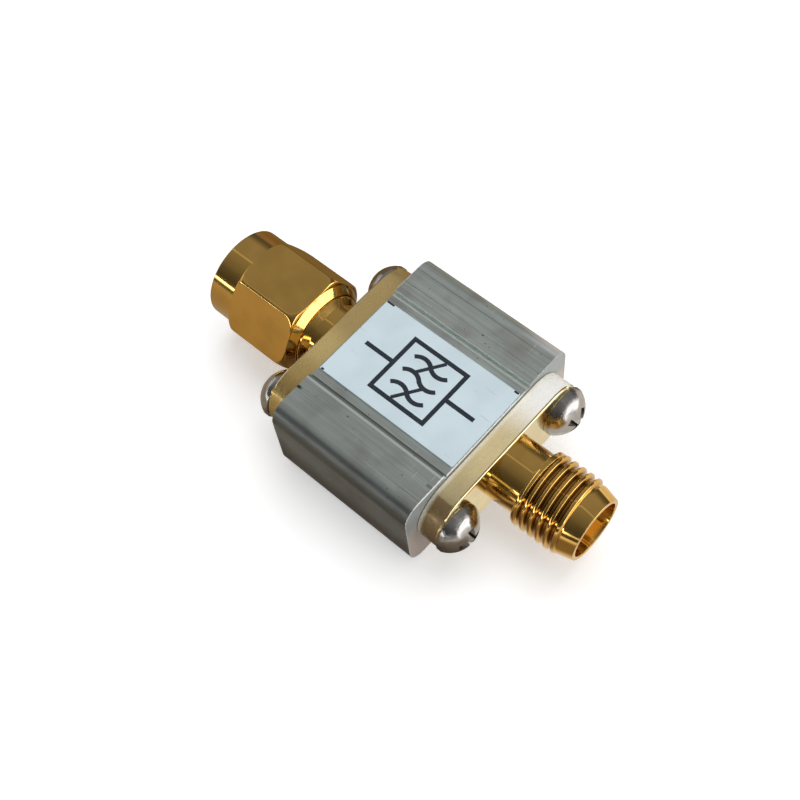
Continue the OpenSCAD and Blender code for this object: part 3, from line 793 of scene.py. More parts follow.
def add_flange(bm, sizes, end, outwards):
    """Adds the drilled flange with its bevelled outer face to a turned body."""
    sides_slot, face_slot = 1, 2
    half_long = sizes.flange_length / 2
    half_high = sizes.flange_height / 2
    low, high = AXIS_HEIGHT - half_high, AXIS_HEIGHT + half_high
    screw_y = sizes.screw_spacing / 2
    face = end + outwards * sizes.flange_thickness
    plate = bmesh.new()
    corners = [(-half_long, low), (half_long, low), (half_long, high), (-half_long, high)]
    verts, _ = outline(plate, [(end, y, z) for y, z in corners])
    plate.faces.new(verts)
    bmesh.ops.bevel(plate, geom=verts, offset=half_high - NUDGE, offset_type="OFFSET",
                    segments=24, profile=0.5, affect="VERTICES", material=-1)
    bmesh.ops.remove_doubles(plate, verts=plate.verts[:], dist=NUDGE)
    bmesh.ops.delete(plate, geom=plate.faces[:], context="FACES_ONLY")
    add_circle(plate, end, 0, AXIS_HEIGHT, sizes.insulator_radius, 48)
    for side in (-1, 1):
        add_circle(plate, end, side * screw_y, AXIS_HEIGHT, sizes.screw_hole, 48)
    thicken(plate, outwards * sizes.flange_thickness)

    def outer_rim(edge):
        at_face = all(abs(vert.co.x - face) < NUDGE for vert in edge.verts)
        middle = middle_of(edge)
        past_holes = abs(middle.y) > screw_y + sizes.screw_hole * 1.05
        return at_face and (past_holes or abs(middle.z - AXIS_HEIGHT) > half_high * 0.8)

    soften(plate, sizes.flange_bevel, 0.5, outer_rim, 3)
    for part in plate.faces:
        part.material_index = face_slot if outwards * part.normal.x > 0.2 else sides_slot
    merge_into(bm, plate)


def add_insulator(sizes, steps, rear, front, name, node):
    """A plastic sleeve between a centre conductor and its shell."""
    bm = bmesh.new()
    turned(bm, [(rear, sizes.conductor_radius), (rear, sizes.insulator_radius),
                (front, sizes.insulator_radius), (front, sizes.conductor_radius)], steps)
    soften(bm, width=0.04 * MM)
    dress(mesh_object(bm, name), "filter", "insulator_white", [insulator_white(sizes)], node)


class FILTER_OT_housing(bpy.types.Operator):
    """Extrudes the housing with its sunken band, grooves, cavity and screw channels"""
    bl_idname = "coaxial_filter.housing"
    bl_label = "Housing"

    def execute(self, context):
        sizes = context.scene.coaxial_filter.housing
        screw_y = context.scene.coaxial_filter.connectors.screw_spacing / 2
        band_floor = housing_high.z - sizes.band_depth
        bm = bmesh.new()
        self.outer_wires(bm, sizes, band_floor)
        self.inner_wires(bm, sizes)
        for side in (-1, 1):
            add_circle(bm, housing_low.x, side * screw_y, AXIS_HEIGHT, sizes.screw_bore, 32)
        thicken(bm, housing_high.x - housing_low.x)

        def outside_ends(edge):
            middle = middle_of(edge)
            at_end = abs(abs(middle.x) - housing_high.x) < NUDGE
            beside_channels = abs(middle.y) > screw_y + 2 * sizes.screw_bore
            above_or_below = middle.z < MM or middle.z > band_floor - NUDGE
            return at_end and (beside_channels or above_or_below)

        soften(bm, sizes.end_round, 0.5, outside_ends, 2)
        soften(bm, sizes.end_round / 2, 0.5, lambda edge: lowest(edge) > band_floor - NUDGE, 2)
        piece = mesh_object(bm, "extruded_housing")
        dress(piece, "filter", "housing_metal", [extruded_metal(sizes)], "housing")
        return {"FINISHED"}

    def outer_wires(self, bm, sizes, band_floor):
        """The outside of the section, with rounded corners, the band and its grooves."""
        half_width = housing_high.y
        top = housing_high.z
        foot = band_floor - sizes.groove_depth
        band = sizes.band_width / 2
        groove = band - sizes.groove_width
        right = [(band, top), (band, foot), (groove, foot), (groove, band_floor)]
        left = [(-y, z) for y, z in reversed(right)]
        corners = [(-half_width, 0), (half_width, 0), (half_width, top)]
        corners += right + left + [(-half_width, top)]
        verts, _ = outline(bm, [(housing_low.x, y, z) for y, z in corners])
        bm.faces.new(verts)
        outer = [vert for vert in verts if abs(abs(vert.co.y) - half_width) < NUDGE]
        bmesh.ops.bevel(bm, geom=outer, offset=sizes.edge_radius, offset_type="OFFSET",
                        segments=12, profile=0.5, affect="VERTICES", material=-1)
        bmesh.ops.delete(bm, geom=bm.faces[:], context="FACES_ONLY")

    def inner_wires(self, bm, sizes):
        """The space for the board, with a slot in each wall that holds it."""
        wall = sizes.cavity_width / 2
        slot = wall + sizes.slot_depth
        low = AXIS_HEIGHT - sizes.cavity_height / 2
        high = AXIS_HEIGHT + sizes.cavity_height / 2
        slot_play = (board_high.z - board_low.z) / 8
        slot_low = board_low.z
        slot_high = board_high.z + slot_play
        right = [(wall, low), (wall, slot_low), (slot, slot_low),
                 (slot, slot_high), (wall, slot_high), (wall, high)]
        left = [(-y, z) for y, z in reversed(right)]
        outline(bm, [(housing_low.x, y, z) for y, z in right + left])


class FILTER_OT_label(bpy.types.Operator):
    """Lays the label in the band and prints a band-pass symbol on it"""
    bl_idname = "coaxial_filter.label"
    bl_label = "Label"

    def execute(self, context):
        sizes = context.scene.coaxial_filter.label
        long = housing_high.x - housing_low.x - 2 * sizes.end_gap
        thick = label_high.z - label_low.z
        middle = (label_high.z + label_low.z) / 2
        bm = bmesh.new()
        bmesh.ops.create_cube(bm, size=1, matrix=Matrix.Translation((0, 0, middle))
                              @ Matrix.Diagonal((long, sizes.width, thick, 1)))
        soften(bm, sizes.corner, 0.5, lambda edge: abs(
            edge.verts[0].co.z - edge.verts[1].co.z) > thick / 2, 6)
        soften(bm, thick / 4, 0.5, lambda edge: lowest(edge) > middle, 2)
        piece = mesh_object(bm, "label_sheet")
        dress(piece, "filter", "label_film", [label_film(sizes)], "label")
        symbol = mesh_object(self.symbol(sizes), "label_symbol")
        dress(symbol, "filter", "label_film", [printed_ink(sizes)])
        return {"FINISHED"}

    def symbol(self, sizes):
        """A square with three waves, the upper and lower struck through, and two leads."""
        half = sizes.symbol_side / 2
        line = sizes.line
        bm = bmesh.new()
        bmesh.ops.create_grid(bm, x_segments=1, y_segments=1, size=half)
        rim = bmesh.ops.inset_region(bm, faces=bm.faces[:], thickness=line,
                                     use_boundary=True, use_even_offset=True)
        inner = [face for face in bm.faces if face not in rim["faces"]]
        bmesh.ops.delete(bm, geom=inner, context="FACES")
        lead = (label_high.x - label_low.x) / 2 - half - 3 * line
        for side in (-1, 1):
            self.bar(bm, (side * (half + lead / 2), 0), lead, line)
        self.corner_marks(bm, sizes)
        stroke = sizes.wave_radius * 2.1
        for row in (-1, 0, 1):
            self.wave(bm, sizes, row * sizes.wave_spacing)
            if row:
                self.bar(bm, (0, row * sizes.wave_spacing), stroke, line * 0.8,
                         turn=math.radians(55), lift=-sizes.ink_height / 4)
        bmesh.ops.remove_doubles(bm, verts=bm.verts[:], dist=NUDGE)
        raised = bmesh.ops.extrude_face_region(bm, geom=bm.faces[:], use_keep_orig=True)
        bmesh.ops.translate(bm, verts=verts_of(raised), vec=(0, 0, sizes.ink_height))
        bmesh.ops.recalc_face_normals(bm, faces=bm.faces[:])
        bmesh.ops.translate(bm, verts=bm.verts[:], vec=(0, 0, label_high.z))
        return bm

    def corner_marks(self, bm, sizes):
        """Three small printed marks near the label's corners."""
        edge = sizes.width / 2 - sizes.mark_inset
        thin = sizes.line * 0.45
        for along, side, long in ((-6.05, 1, 0.7), (6.15, 1, 0.4), (-6.2, -1, 0.25)):
            self.bar(bm, (along * MM, side * edge), long * MM, thin)

    def bar(self, bm, centre, long, wide, turn=0, lift=0):
        """A flat printed bar."""
        place = Matrix.Translation((*centre, lift)) @ Matrix.Rotation(turn, 4, "Z")
        bmesh.ops.create_grid(bm, x_segments=1, y_segments=1, size=0.5,
                              matrix=place @ Matrix.Diagonal((long, wide, 1, 1)))

    def wave(self, bm, sizes, y):
        """One wave as a ribbon spun through two arcs."""
        radius = sizes.wave_radius
        half_arc = math.radians(44)
        reach = radius * math.sin(half_arc)
        drop = radius * math.cos(half_arc)
        for side in (-1, 1):
            centre = Vector((side * reach, y + side * drop, 0))
            start = -side * (math.pi / 2 + half_arc)
            direction = Vector((math.cos(start), math.sin(start), 0))
            ends = [bm.verts.new(centre + direction * (radius + edge * sizes.line))
                    for edge in (-0.5, 0.5)]
            rib = bm.edges.new(ends)
            bmesh.ops.spin(bm, geom=ends + [rib], cent=centre, axis=(0, 0, 1),
                           angle=side * 2 * half_arc, steps=16, use_merge=False)


class FILTER_OT_plug(bpy.types.Operator):
    """Turns the plug's body, insulator, pin, snap ring and gasket"""
    bl_idname = "coaxial_filter.plug"
    bl_label = "Plug"

    def execute(self, context):
        settings = context.scene.coaxial_filter
        sizes = settings.connectors
        steps = settings.round_steps
        self.body(settings, sizes, steps)
        add_insulator(sizes, steps, housing_low.x, plug_front, "plug_insulator_sleeve",
                      "plug_insulator")
        self.pin(sizes, steps)
        self.snap_ring(sizes, steps)
        self.gasket(sizes, steps)
        return {"FINISHED"}

    def body(self, settings, sizes, steps):
        """Neck, cone, collar, barrel with the ring's groove, gasket seat and front tube."""
        inner = sizes.insulator_radius
        flange_face = housing_low.x - sizes.flange_thickness
        neck_start = flange_face + OVERLAP
        cone_start = flange_face - sizes.neck_length
        cone_end = cone_start - (sizes.collar_radius - sizes.neck_radius)
        collar_end = nut_high.x - settings.nut.seat_depth + sizes.play
        groove_rear = ring_high.x + sizes.play
        groove_front = ring_low.x - sizes.play
        bm = bmesh.new()
        turned(bm, [
            (neck_start, inner), (neck_start, sizes.neck_radius),
            (cone_start, sizes.neck_radius), (cone_end, sizes.collar_radius),
            (collar_end, sizes.collar_radius), (collar_end, sizes.barrel_radius),
            (groove_rear, sizes.barrel_radius), (groove_rear, sizes.groove_radius),
            (groove_front, sizes.groove_radius), (groove_front, sizes.barrel_radius),
            (gasket_high.x, sizes.barrel_radius), (gasket_high.x, sizes.seat_radius),
            (gasket_low.x, sizes.seat_radius), (gasket_low.x, sizes.tube_radius),
            (plug_front, sizes.tube_radius), (plug_front, inner),
        ], steps)
        soften(bm, width=0.06 * MM)
        add_flange(bm, sizes, housing_low.x, -1)
        piece = mesh_object(bm, "plug_body")
        dress(piece, "filter", "shell_gold", shell_finishes(sizes), "plug_shell")

    def pin(self, sizes, steps):
        """The tail on the board, the conductor in the insulator and the tapered tip."""
        tip_start = pin_low.x + sizes.pin_taper
        bm = bmesh.new()
        turned(bm, [
            (pin_high.x, CORE), (pin_high.x, sizes.tail_radius),
            (housing_low.x, sizes.tail_radius), (housing_low.x, sizes.conductor_radius),
            (plug_front, sizes.conductor_radius), (plug_front, sizes.pin_radius),
            (tip_start, sizes.pin_radius), (pin_low.x, sizes.pin_radius / 2),
            (pin_low.x, CORE),
        ], steps // 2)
        soften(bm, width=0.05 * MM)
        piece = mesh_object(bm, "plug_centre_pin")
        dress(piece, "filter", "contact_gold", [contact_gold(sizes)], "plug_pin")

    def snap_ring(self, sizes, steps):
        """The open ring that keeps the nut on the plug."""
        outer = (ring_high.y - ring_low.y) / 2
        half_opening = math.asin(sizes.ring_opening / 2 / outer)
        bm = bmesh.new()
        swept(bm, [(ring_low.x, outer), (ring_low.x, sizes.groove_radius),
                   (ring_high.x, sizes.groove_radius), (ring_high.x, outer)],
              math.tau - 2 * half_opening, steps)
        bmesh.ops.rotate(bm, verts=bm.verts[:], cent=(0, 0, AXIS_HEIGHT),
                         matrix=Matrix.Rotation(half_opening, 3, "X"))
        soften(bm, 0.05 * MM, 0.5)
        steel = bright_steel("spring_steel", sizes.spring, roughness=0.3)
        piece = mesh_object(bm, "snap_ring")
        dress(piece, "filter", "spring_steel", [steel], "nut_snap_ring")

    def gasket(self, sizes, steps):
        """The soft ring that the mating jack presses on."""
        outer = (gasket_high.y - gasket_low.y) / 2
        bm = bmesh.new()
        turned(bm, [(gasket_high.x, sizes.seat_radius), (gasket_high.x, outer),
                    (gasket_low.x, outer), (gasket_low.x, sizes.seat_radius)], steps)
        soften(bm, width=0.12 * MM)
        rubber = moulded("gasket_rubber", sizes.rubber, roughness=0.6, grain_scale=12,
                         depth=0.006)
        piece = mesh_object(bm, "rubber_gasket")
        dress(piece, "filter", "gasket_rubber", [rubber], "plug_gasket")


class FILTER_OT_nut(bpy.types.Operator):
    """Turns the coupling nut, mills its six flats and cuts the thread inside"""
    bl_idname = "coaxial_filter.nut"
    bl_label = "Coupling nut"

    def execute(self, context):
        settings = context.scene.coaxial_filter
        sizes = settings.nut
        bm = bmesh.new()
        self.turned_body(bm, sizes, 2 * settings.round_steps)
        past_collar = sizes.collar_radius + 0.01 * MM
        for vert in bm.verts:
            radius = radius_of(vert)
            if radius > past_collar:
                pull_in(vert, self.least(radius, self.reach_of_flats(vert, sizes)))
        merge_into(bm, self.ridges(sizes, settings.connectors.thread_pitch))
        piece = mesh_object(bm, "hexagonal_nut")
        plating = polished_plating("nut_plating", settings.connectors.plating,
                                   roughness=0.07)
        dress(piece, "nut", "nut_gold", [plating], "coupling_nut")
        return {"FINISHED"}

    def turned_body(self, bm, sizes, steps):
        """The nut before its flats: rear chamfer, rounded runs, collar and stepped bore."""
        rear = nut_high.x
        front = nut_low.x
        hex_front = front + sizes.collar_length
        chamfer_end = rear - sizes.rear_chamfer
        chamfer_top = sizes.rear_radius + sizes.rear_chamfer
        collar_top = sizes.collar_radius + sizes.collar_step
        seat_end = rear - sizes.seat_depth
        lip_end = seat_end - sizes.lip_thickness
        mouth = sizes.mouth_chamfer
        turned(bm, [
            (rear, sizes.seat_radius), (rear, sizes.rear_radius),
            *self.round_run(sizes, chamfer_end, chamfer_top, -1),
            *reversed(self.round_run(sizes, hex_front, collar_top, 1)),
            (hex_front, sizes.collar_radius), (front, sizes.collar_radius),
            (front, sizes.bore_radius + mouth), (front + mouth, sizes.bore_radius),
            (lip_end, sizes.bore_radius), (lip_end, sizes.lip_radius),
            (seat_end, sizes.lip_radius), (seat_end, sizes.seat_radius),
        ], steps)
        soften(bm, 0.06 * MM, 0.5)

    def ridges(self, sizes, pitch):
        """The thread's ridges inside the bore, cut off square at both ends."""
        front = nut_low.x
        wall = sizes.bore_radius + 0.02 * MM
        crest = wall - sizes.thread_depth
        foot_half = 0.42 * pitch
        crest_half = 0.08 * pitch
        start = front - pitch / 2
        turns = (gasket_low.x - front) / pitch
        steps = 72
        bm = bmesh.new()
        swept(bm, [(start - foot_half, wall), (start - crest_half, crest),
                   (start + crest_half, crest), (start + foot_half, wall)],
              math.tau * turns, int(turns * steps), pitch / steps)
        before_gasket = gasket_low.x - 0.15 * MM
        for place, outwards in ((front + sizes.mouth_chamfer, -1), (before_gasket, 1)):
            cut = bmesh.ops.bisect_plane(
                bm, geom=bm.verts[:] + bm.edges[:] + bm.faces[:], dist=NUDGE / 10,
                plane_co=(place, 0, 0), plane_no=(outwards, 0, 0), clear_outer=True)
            rims = [item for item in cut["geom_cut"] if isinstance(item, bmesh.types.BMEdge)]
            bmesh.ops.holes_fill(bm, edges=rims, sides=0)
        return bm

    def least(self, first, second):
        """The smaller of two radii, rounded where they are nearly equal."""
        blend = 0.1 * MM
        near = max(blend - abs(first - second), 0) / blend
        return min(first, second) - near ** 2 * blend / 4

    def reach_of_flats(self, vert, sizes):
        """How far out the six flats let the nut reach in the direction of a vertex."""
        sixth = math.radians(60)
        turn = math.atan2(vert.co.y, vert.co.z - AXIS_HEIGHT) % sixth
        first = sizes.flats / 2 / math.cos(turn)
        second = sizes.flats / 2 / math.cos(sixth - turn)
        return self.least(first, second)

    def round_run(self, sizes, start, low, direction):
        """Points of the rounded run from a radius up to the turned corners."""
        steps = 24
        points = []
        for step in range(steps + 1):
            bend = math.radians(step * 90 / steps)
            points.append((start + direction * sizes.corner_round * (1 - math.cos(bend)),
                           low + (sizes.corner_radius - low) * math.sin(bend)))
        return points


class FILTER_OT_jack(bpy.types.Operator):
    """Turns the jack's body, cuts its thread, and turns its insulator and slit contact"""
    bl_idname = "coaxial_filter.jack"
    bl_label = "Jack"

    def execute(self, context):
        settings = context.scene.coaxial_filter
        sizes = settings.connectors
        steps = settings.round_steps
        flange_face = housing_high.x + sizes.flange_thickness
        thread_rear = flange_face + sizes.jack_barrel_length
        self.body(sizes, steps, flange_face, thread_rear)
        self.thread(sizes, thread_rear)
        add_insulator(sizes, steps, housing_high.x, mouth_floor, "jack_insulator_sleeve",
                      "jack_insulator")
        self.contact(sizes, steps)
        return {"FINISHED"}

    def body(self, sizes, steps, flange_face, thread_rear):
        """Barrel, land, thread core, chamfered nose and stepped mouth."""
        inner = sizes.insulator_radius
        barrel_start = flange_face - OVERLAP
        thread_front = thread_rear + sizes.thread_length
        land = sizes.thread_radius - 0.06 * MM
        land_end = thread_rear + 0.4 * MM
        core_rear = land_end + 0.15 * MM
        core_front = thread_front - 0.25 * MM
        nose_rear = thread_front + 0.2 * MM
        bm = bmesh.new()
        turned(bm, [
            (barrel_start, inner), (barrel_start, sizes.jack_barrel),
            (thread_rear, sizes.jack_barrel), (thread_rear, land), (land_end, land),
            (core_rear, sizes.thread_core), (core_front, sizes.thread_core),
            (nose_rear, sizes.nose_radius),
            (jack_front, sizes.rim_radius), (jack_front, sizes.mouth_radius),
            (mouth_floor, sizes.mouth_radius), (mouth_floor, inner),
        ], steps)
        soften(bm, width=0.05 * MM)
        add_flange(bm, sizes, housing_high.x, 1)
        piece = mesh_object(bm, "jack_body")
        dress(piece, "filter", "shell_gold", shell_finishes(sizes), "jack_shell")

    def thread(self, sizes, thread_rear):
        """The thread's ridge, which starts at the land and runs out on the nose."""
        pitch = sizes.thread_pitch
        foot = sizes.thread_core - 0.03 * MM
        crest = sizes.thread_radius
        shoulder = crest - 0.04 * MM
        foot_half = 0.42 * pitch
        shoulder_half = 0.18 * pitch
        crest_half = 0.11 * pitch
        start = thread_rear + 0.04 * MM
        turns = 5.3
        steps = 96
        bm = bmesh.new()
        swept(bm, [(start - foot_half, foot), (start - shoulder_half, shoulder),
                   (start - crest_half, crest), (start + crest_half, crest),
                   (start + shoulder_half, shoulder), (start + foot_half, foot)],
              math.tau * turns, int(turns * steps), pitch / steps)
        thread_front = thread_rear + sizes.thread_length
        nose_start = thread_front + 0.18 * MM
        nose_slope = 0.55
        for vert in bm.verts:
            vert.co.x = max(vert.co.x, thread_rear)
            slope_top = sizes.nose_radius + (nose_start - vert.co.x) * nose_slope
            if vert.co.x > thread_front - pitch / 2 and radius_of(vert) > slope_top:
                pull_in(vert, slope_top)
        piece = mesh_object(bm, "jack_thread")
        dress(piece, "filter", "shell_gold", shell_finishes(sizes)[:1])

    def contact(self, sizes, steps):
        """The tail on the board and the socket with its four slits."""
        socket_end = contact_high.x - sizes.socket_depth
        bm = bmesh.new()
        turned(bm, [
            (contact_low.x, CORE), (contact_low.x, sizes.tail_radius),
            (housing_high.x, sizes.tail_radius), (housing_high.x, sizes.conductor_radius),
            (contact_high.x, sizes.conductor_radius), (contact_high.x, sizes.socket_radius),
            (socket_end, sizes.socket_radius), (socket_end, CORE),
        ], steps // 2)
        soften(bm, width=0.04 * MM)
        piece = mesh_object(bm, "slit_contact")
        size = Matrix.Diagonal((2 * sizes.slit_length, sizes.slit_width,
                                4 * sizes.conductor_radius, 1))
        place = Matrix.Translation((contact_high.x, 0, AXIS_HEIGHT))
        cutters = []
        for turn in (45, 135):
            bm = bmesh.new()
            spin = Matrix.Rotation(math.radians(turn), 4, "X")
            bmesh.ops.create_cube(bm, size=1, matrix=place @ spin @ size)
            cutters.append(mesh_object(bm, "slit_cutter"))
        carved(piece, cutters)
        dress(piece, "filter", "contact_gold", [contact_gold(sizes)], "jack_contact")


class FILTER_OT_screws(bpy.types.Operator):
    """Turns the four domed screws and cuts their cross recesses"""
    bl_idname = "coaxial_filter.screws"
    bl_label = "Flange screws"

    def execute(self, context):
        settings = context.scene.coaxial_filter
        sizes = settings.screws
        seat = settings.connectors.flange_thickness
        y = settings.connectors.screw_spacing / 2
        steel = bright_steel("screw_steel", sizes.steel, roughness=0.16)
        ends = (("plug_flange_screws", housing_low.x, -1),
                ("jack_flange_screws", housing_high.x, 1))
        for node, end, outwards in ends:
            for side, side_name, tightened in ((-1, "near", -7), (1, "far", 47)):
                screw = self.turned_screw(sizes, seat)
                carved(screw, [self.arm(sizes, tightened + turn) for turn in (0, 90)])
                turn = Matrix.Rotation(outwards * math.pi / 2, 4, "Y")
                place = Matrix.Translation((end + outwards * seat, side * y, AXIS_HEIGHT))
                screw.data.transform(place @ turn)
                screw.name = f"{node}_{side_name}"
                screw.data.name = screw.name
                dress(screw, "filter", "screw_steel", [steel], node)
        return {"FINISHED"}

    def turned_screw(self, sizes, seat):
        """One screw along +Z with its seat at the origin, without its cross."""
        dome_height = sizes.head_height - sizes.rim_height
        dome = (sizes.head_radius ** 2 + dome_height ** 2) / (2 * dome_height)
        bottom = -sizes.reach - seat
        bm = bmesh.new()
        top = bm.verts.new((0, 0, sizes.head_height))
        bmesh.ops.spin(bm, geom=[top], cent=(0, 0, sizes.head_height - dome),
                       axis=(0, 1, 0), angle=math.asin(sizes.head_radius / dome), steps=14)
        last = max(bm.verts, key=lambda vert: vert.co.x)
        for radius, height in ((sizes.head_radius, 0), (sizes.shank_radius, 0),
                               (sizes.shank_radius, bottom), (0, bottom)):
            corner = bm.verts.new((radius, 0, height))
            bm.edges.new((last, corner))
            last = corner
        bmesh.ops.spin(bm, geom=bm.verts[:] + bm.edges[:], cent=(0, 0, 0), axis=(0, 0, 1),
                       angle=math.tau, steps=64, use_merge=True)
        bmesh.ops.remove_doubles(bm, verts=bm.verts[:], dist=NUDGE / 10)
        bmesh.ops.recalc_face_normals(bm, faces=bm.faces[:])
        soften(bm, 0.07 * MM, 0.5, lambda edge: max(
            vert.co.xy.length for vert in edge.verts) > sizes.head_radius * 0.98)
        return mesh_object(bm, "screw")

    def arm(self, sizes, degrees):
        """A cutter for one arm of the cross, wider at the top than at its foot."""
        half = sizes.cross_width / 2
        foot = sizes.head_height - sizes.cross_depth
        past_head = 1.2
        bm = bmesh.new()
        corners = [bm.verts.new((x, y, foot)) for x, y in (
            (-half, -half), (half, -half), (half, half), (-half, half))]
        base = bm.faces.new(corners)
        up = bmesh.ops.extrude_face_region(bm, geom=[base], use_keep_orig=True)
        raised = verts_of(up)
        bmesh.ops.translate(bm, verts=raised, vec=(0, 0, sizes.cross_depth * past_head))
        spread = past_head * sizes.cross_span / sizes.cross_width
        bmesh.ops.scale(bm, verts=raised, vec=(spread, 1, 1))
        bmesh.ops.recalc_face_normals(bm, faces=bm.faces[:])
        bmesh.ops.rotate(bm, verts=bm.verts[:], cent=(0, 0, 0),
                         matrix=Matrix.Rotation(math.radians(degrees), 3, "Z"))
        return mesh_object(bm, "cross_cutter")


class FILTER_OT_board(bpy.types.Operator):
    """Finishes the circuit board and the small parts inside the housing"""
    bl_idname = "coaxial_filter.board"
    bl_label = "Circuit board"

    def execute(self, context):
        colours = context.scene.coaxial_filter.board
        solder = moulded("solder_tin", colours.solder, roughness=0.25, grain_scale=6,
                         depth=0.01, metallic=1)
        copper = moulded("board_copper", colours.copper, roughness=0.3, grain_scale=14,
                         depth=0.002, metallic=1)
        capacitor = moulded("capacitor_body", colours.capacitor, roughness=0.5,
                            grain_scale=10, depth=0.003)
        coil = moulded("coil_body", colours.coil, roughness=0.45, grain_scale=10,
                       depth=0.003)
        ceramic = moulded("chip_ceramic", colours.ceramic, roughness=0.6, grain_scale=16,
                          depth=0.003)
        lid = moulded("chip_metal", colours.lid, roughness=0.3, grain_scale=8,
                      depth=0.002, metallic=1)
        finishes = {
            "circuit_board": board_laminate(colours.laminate),
            "signal_tracks": copper,
            "ground_copper": copper,
            "filter_chip": ceramic,
            "filter_chip_lid": lid,
            "input_capacitor": capacitor,
            "output_capacitor": capacitor,
            "input_inductor": coil,
            "output_inductor": coil,
            "plug_solder_joint": solder,
            "jack_solder_joint": solder,
            "component_solder": solder,
        }
        for node, material in finishes.items():
            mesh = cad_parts[node].data
            mesh.materials.clear()
            mesh.materials.append(material)
        return {"FINISHED"}


class FILTER_OT_stage(bpy.types.Operator):
    """Sets up the pale floor, the soft light and the camera"""
    bl_idname = "coaxial_filter.stage"
    bl_label = "Stage"

    def execute(self, context):
        stage = context.scene.coaxial_filter.stage
        scene = context.scene
        scene.view_settings.view_transform = "Standard"
        self.camera(scene, stage)
        self.surroundings(scene, stage)
        self.floor(stage)
        self.tent(stage)
        self.lamp("lamp_above", place=(-0.1, 0.3, 0.7), size=0.7, power=stage.lamp)
        self.lamp("lamp_end", place=(0.6, 0.2, 0.4), size=0.6, power=stage.lamp * 0.4)
        return {"FINISHED"}

    def camera(self, scene, stage):
        """A camera that looks at the object as the photograph does."""
        towards = Vector((math.cos(stage.elevation) * math.sin(stage.azimuth),
                          -math.cos(stage.elevation) * math.cos(stage.azimuth),
                          math.sin(stage.elevation)))
        forward = -towards
        right = forward.cross(Vector((0, 0, 1))).normalized()
        up = right.cross(forward)
        right, up = self.turn(right, up, stage.roll)
        right, forward = self.turn(right, forward, stage.pan)
        forward, up = self.turn(forward, up, stage.tilt)
        data = bpy.data.cameras.new("camera")
        data.lens = stage.lens
        data.sensor_width = 36
        data.clip_start = 0.001
        camera = bpy.data.objects.new("camera", data)
        axes = Matrix((right, up, -forward)).transposed().to_4x4()
        camera.matrix_world = Matrix.Translation(stage.camera_place) @ axes
        scene.collection.objects.link(camera)
        scene.camera = camera

    def turn(self, first, second, amount):
        """Turns two directions in their plane, the first towards the second."""
        return (math.cos(amount) * first + math.sin(amount) * second,
                math.cos(amount) * second - math.sin(amount) * first)

    def surroundings(self, scene, stage):
        """White where the camera, metal or glass looks, plain grey as light."""
        world = bpy.data.worlds.new("surroundings")
        scene.world = world
        world.use_nodes = True
        nodes = world.node_tree.nodes
        links = world.node_tree.links
        strength = nodes.new("ShaderNodeMapRange")
        strength.inputs["To Min"].default_value = stage.sky
        strength.inputs["To Max"].default_value = 1
        links.new(self.seen(nodes, links), strength.inputs["Value"])
        background = nodes["Background"]
        background.inputs["Color"].default_value = (1, 1, 1, 1)
        links.new(strength.outputs["Result"], background.inputs["Strength"])

    def seen(self, nodes, links):
        """1 for rays from the camera and for mirrored or passed rays, else 0."""
        rays = nodes.new("ShaderNodeLightPath").outputs
        result = rays["Is Camera Ray"]
        for kind in ("Is Glossy Ray", "Is Transmission Ray"):
            either = nodes.new("ShaderNodeMath")
            either.operation = "MAXIMUM"
            links.new(result, either.inputs[0])
            links.new(rays[kind], either.inputs[1])
            result = either.outputs["Value"]
        return result

    def floor(self, stage):
        """A wide pale floor that turns white where it is lit and keeps a soft shadow."""
        half_side = 3
        gap_below = 0.01 * MM
        black = (0, 0, 0, 1)
        bm = bmesh.new()
        bmesh.ops.create_grid(bm, x_segments=1, y_segments=1, size=half_side)
        bmesh.ops.translate(bm, verts=bm.verts[:], vec=(0, 0, -gap_below))
        floor = mesh_object(bm, "floor")
        finish = Finish("floor", stage.floor, 0, 0.9)
        finish.set("Specular IOR Level", 0)
        rays = finish.nodes.new("ShaderNodeLightPath").outputs
        mirrored = rays["Is Glossy Ray"]
        # in mirrored rays the floor takes no light and glows instead with the painted shadow and
        # light of mirrored_floor
        finish.layer(mirrored, black)
        glow = finish.nodes.new("ShaderNodeEmission")
        lift = (stage.floor_glow, stage.floor_glow, stage.floor_glow, 1)
        finish.fill(glow.inputs["Color"],
                    finish.blend(mirrored, lift, self.mirrored_floor(finish)))
        finish.fill(glow.inputs["Strength"], finish.larger(rays["Is Camera Ray"], mirrored))
        both = finish.nodes.new("ShaderNodeAddShader")
        finish.links.new(finish.shader.outputs["BSDF"], both.inputs[0])
        finish.links.new(glow.outputs["Emission"], both.inputs[1])
        finish.show(both.outputs["Shader"])
        floor.data.materials.append(finish.material)

    def mirrored_floor(self, finish):
        """The floor as metal mirrors it, painted with light and shade: dark brown painted shadow
        close to the housing, lighter painted shade a little further out, a painted gold reflection
        beside the nut, painted light past the jack's end, and pale far away.
        """
        shadow_brown = (0.09, 0.07, 0.055, 1)
        plug_brown = (0.4, 0.33, 0.24, 1)
        jack_brown = (0.24, 0.19, 0.14, 1)
        nut_gold = (0.2, 0.125, 0.035, 1)
        pale = (0.95, 0.9, 0.82, 1)
        x, y, _ = finish.place()
        away = finish.larger(finish.minus(finish.unsigned(x), housing_high.x / MM),
                             finish.minus(finish.unsigned(y), housing_high.y / MM))
        jack_side = finish.range(x, -10, 12, 0.1, 1)
        away = finish.plus(away, finish.times(finish.range(y, 0, 12, 0, 5), jack_side))
        # painted shade in two browns, lighter on the plug's side
        middle = finish.blend(jack_side, plug_brown, jack_brown)
        near = finish.blend(finish.range(away, 1, 9), shadow_brown, middle)
        beside_nut = finish.times(finish.range(x, -11, -14), finish.range(y, 3, 6))
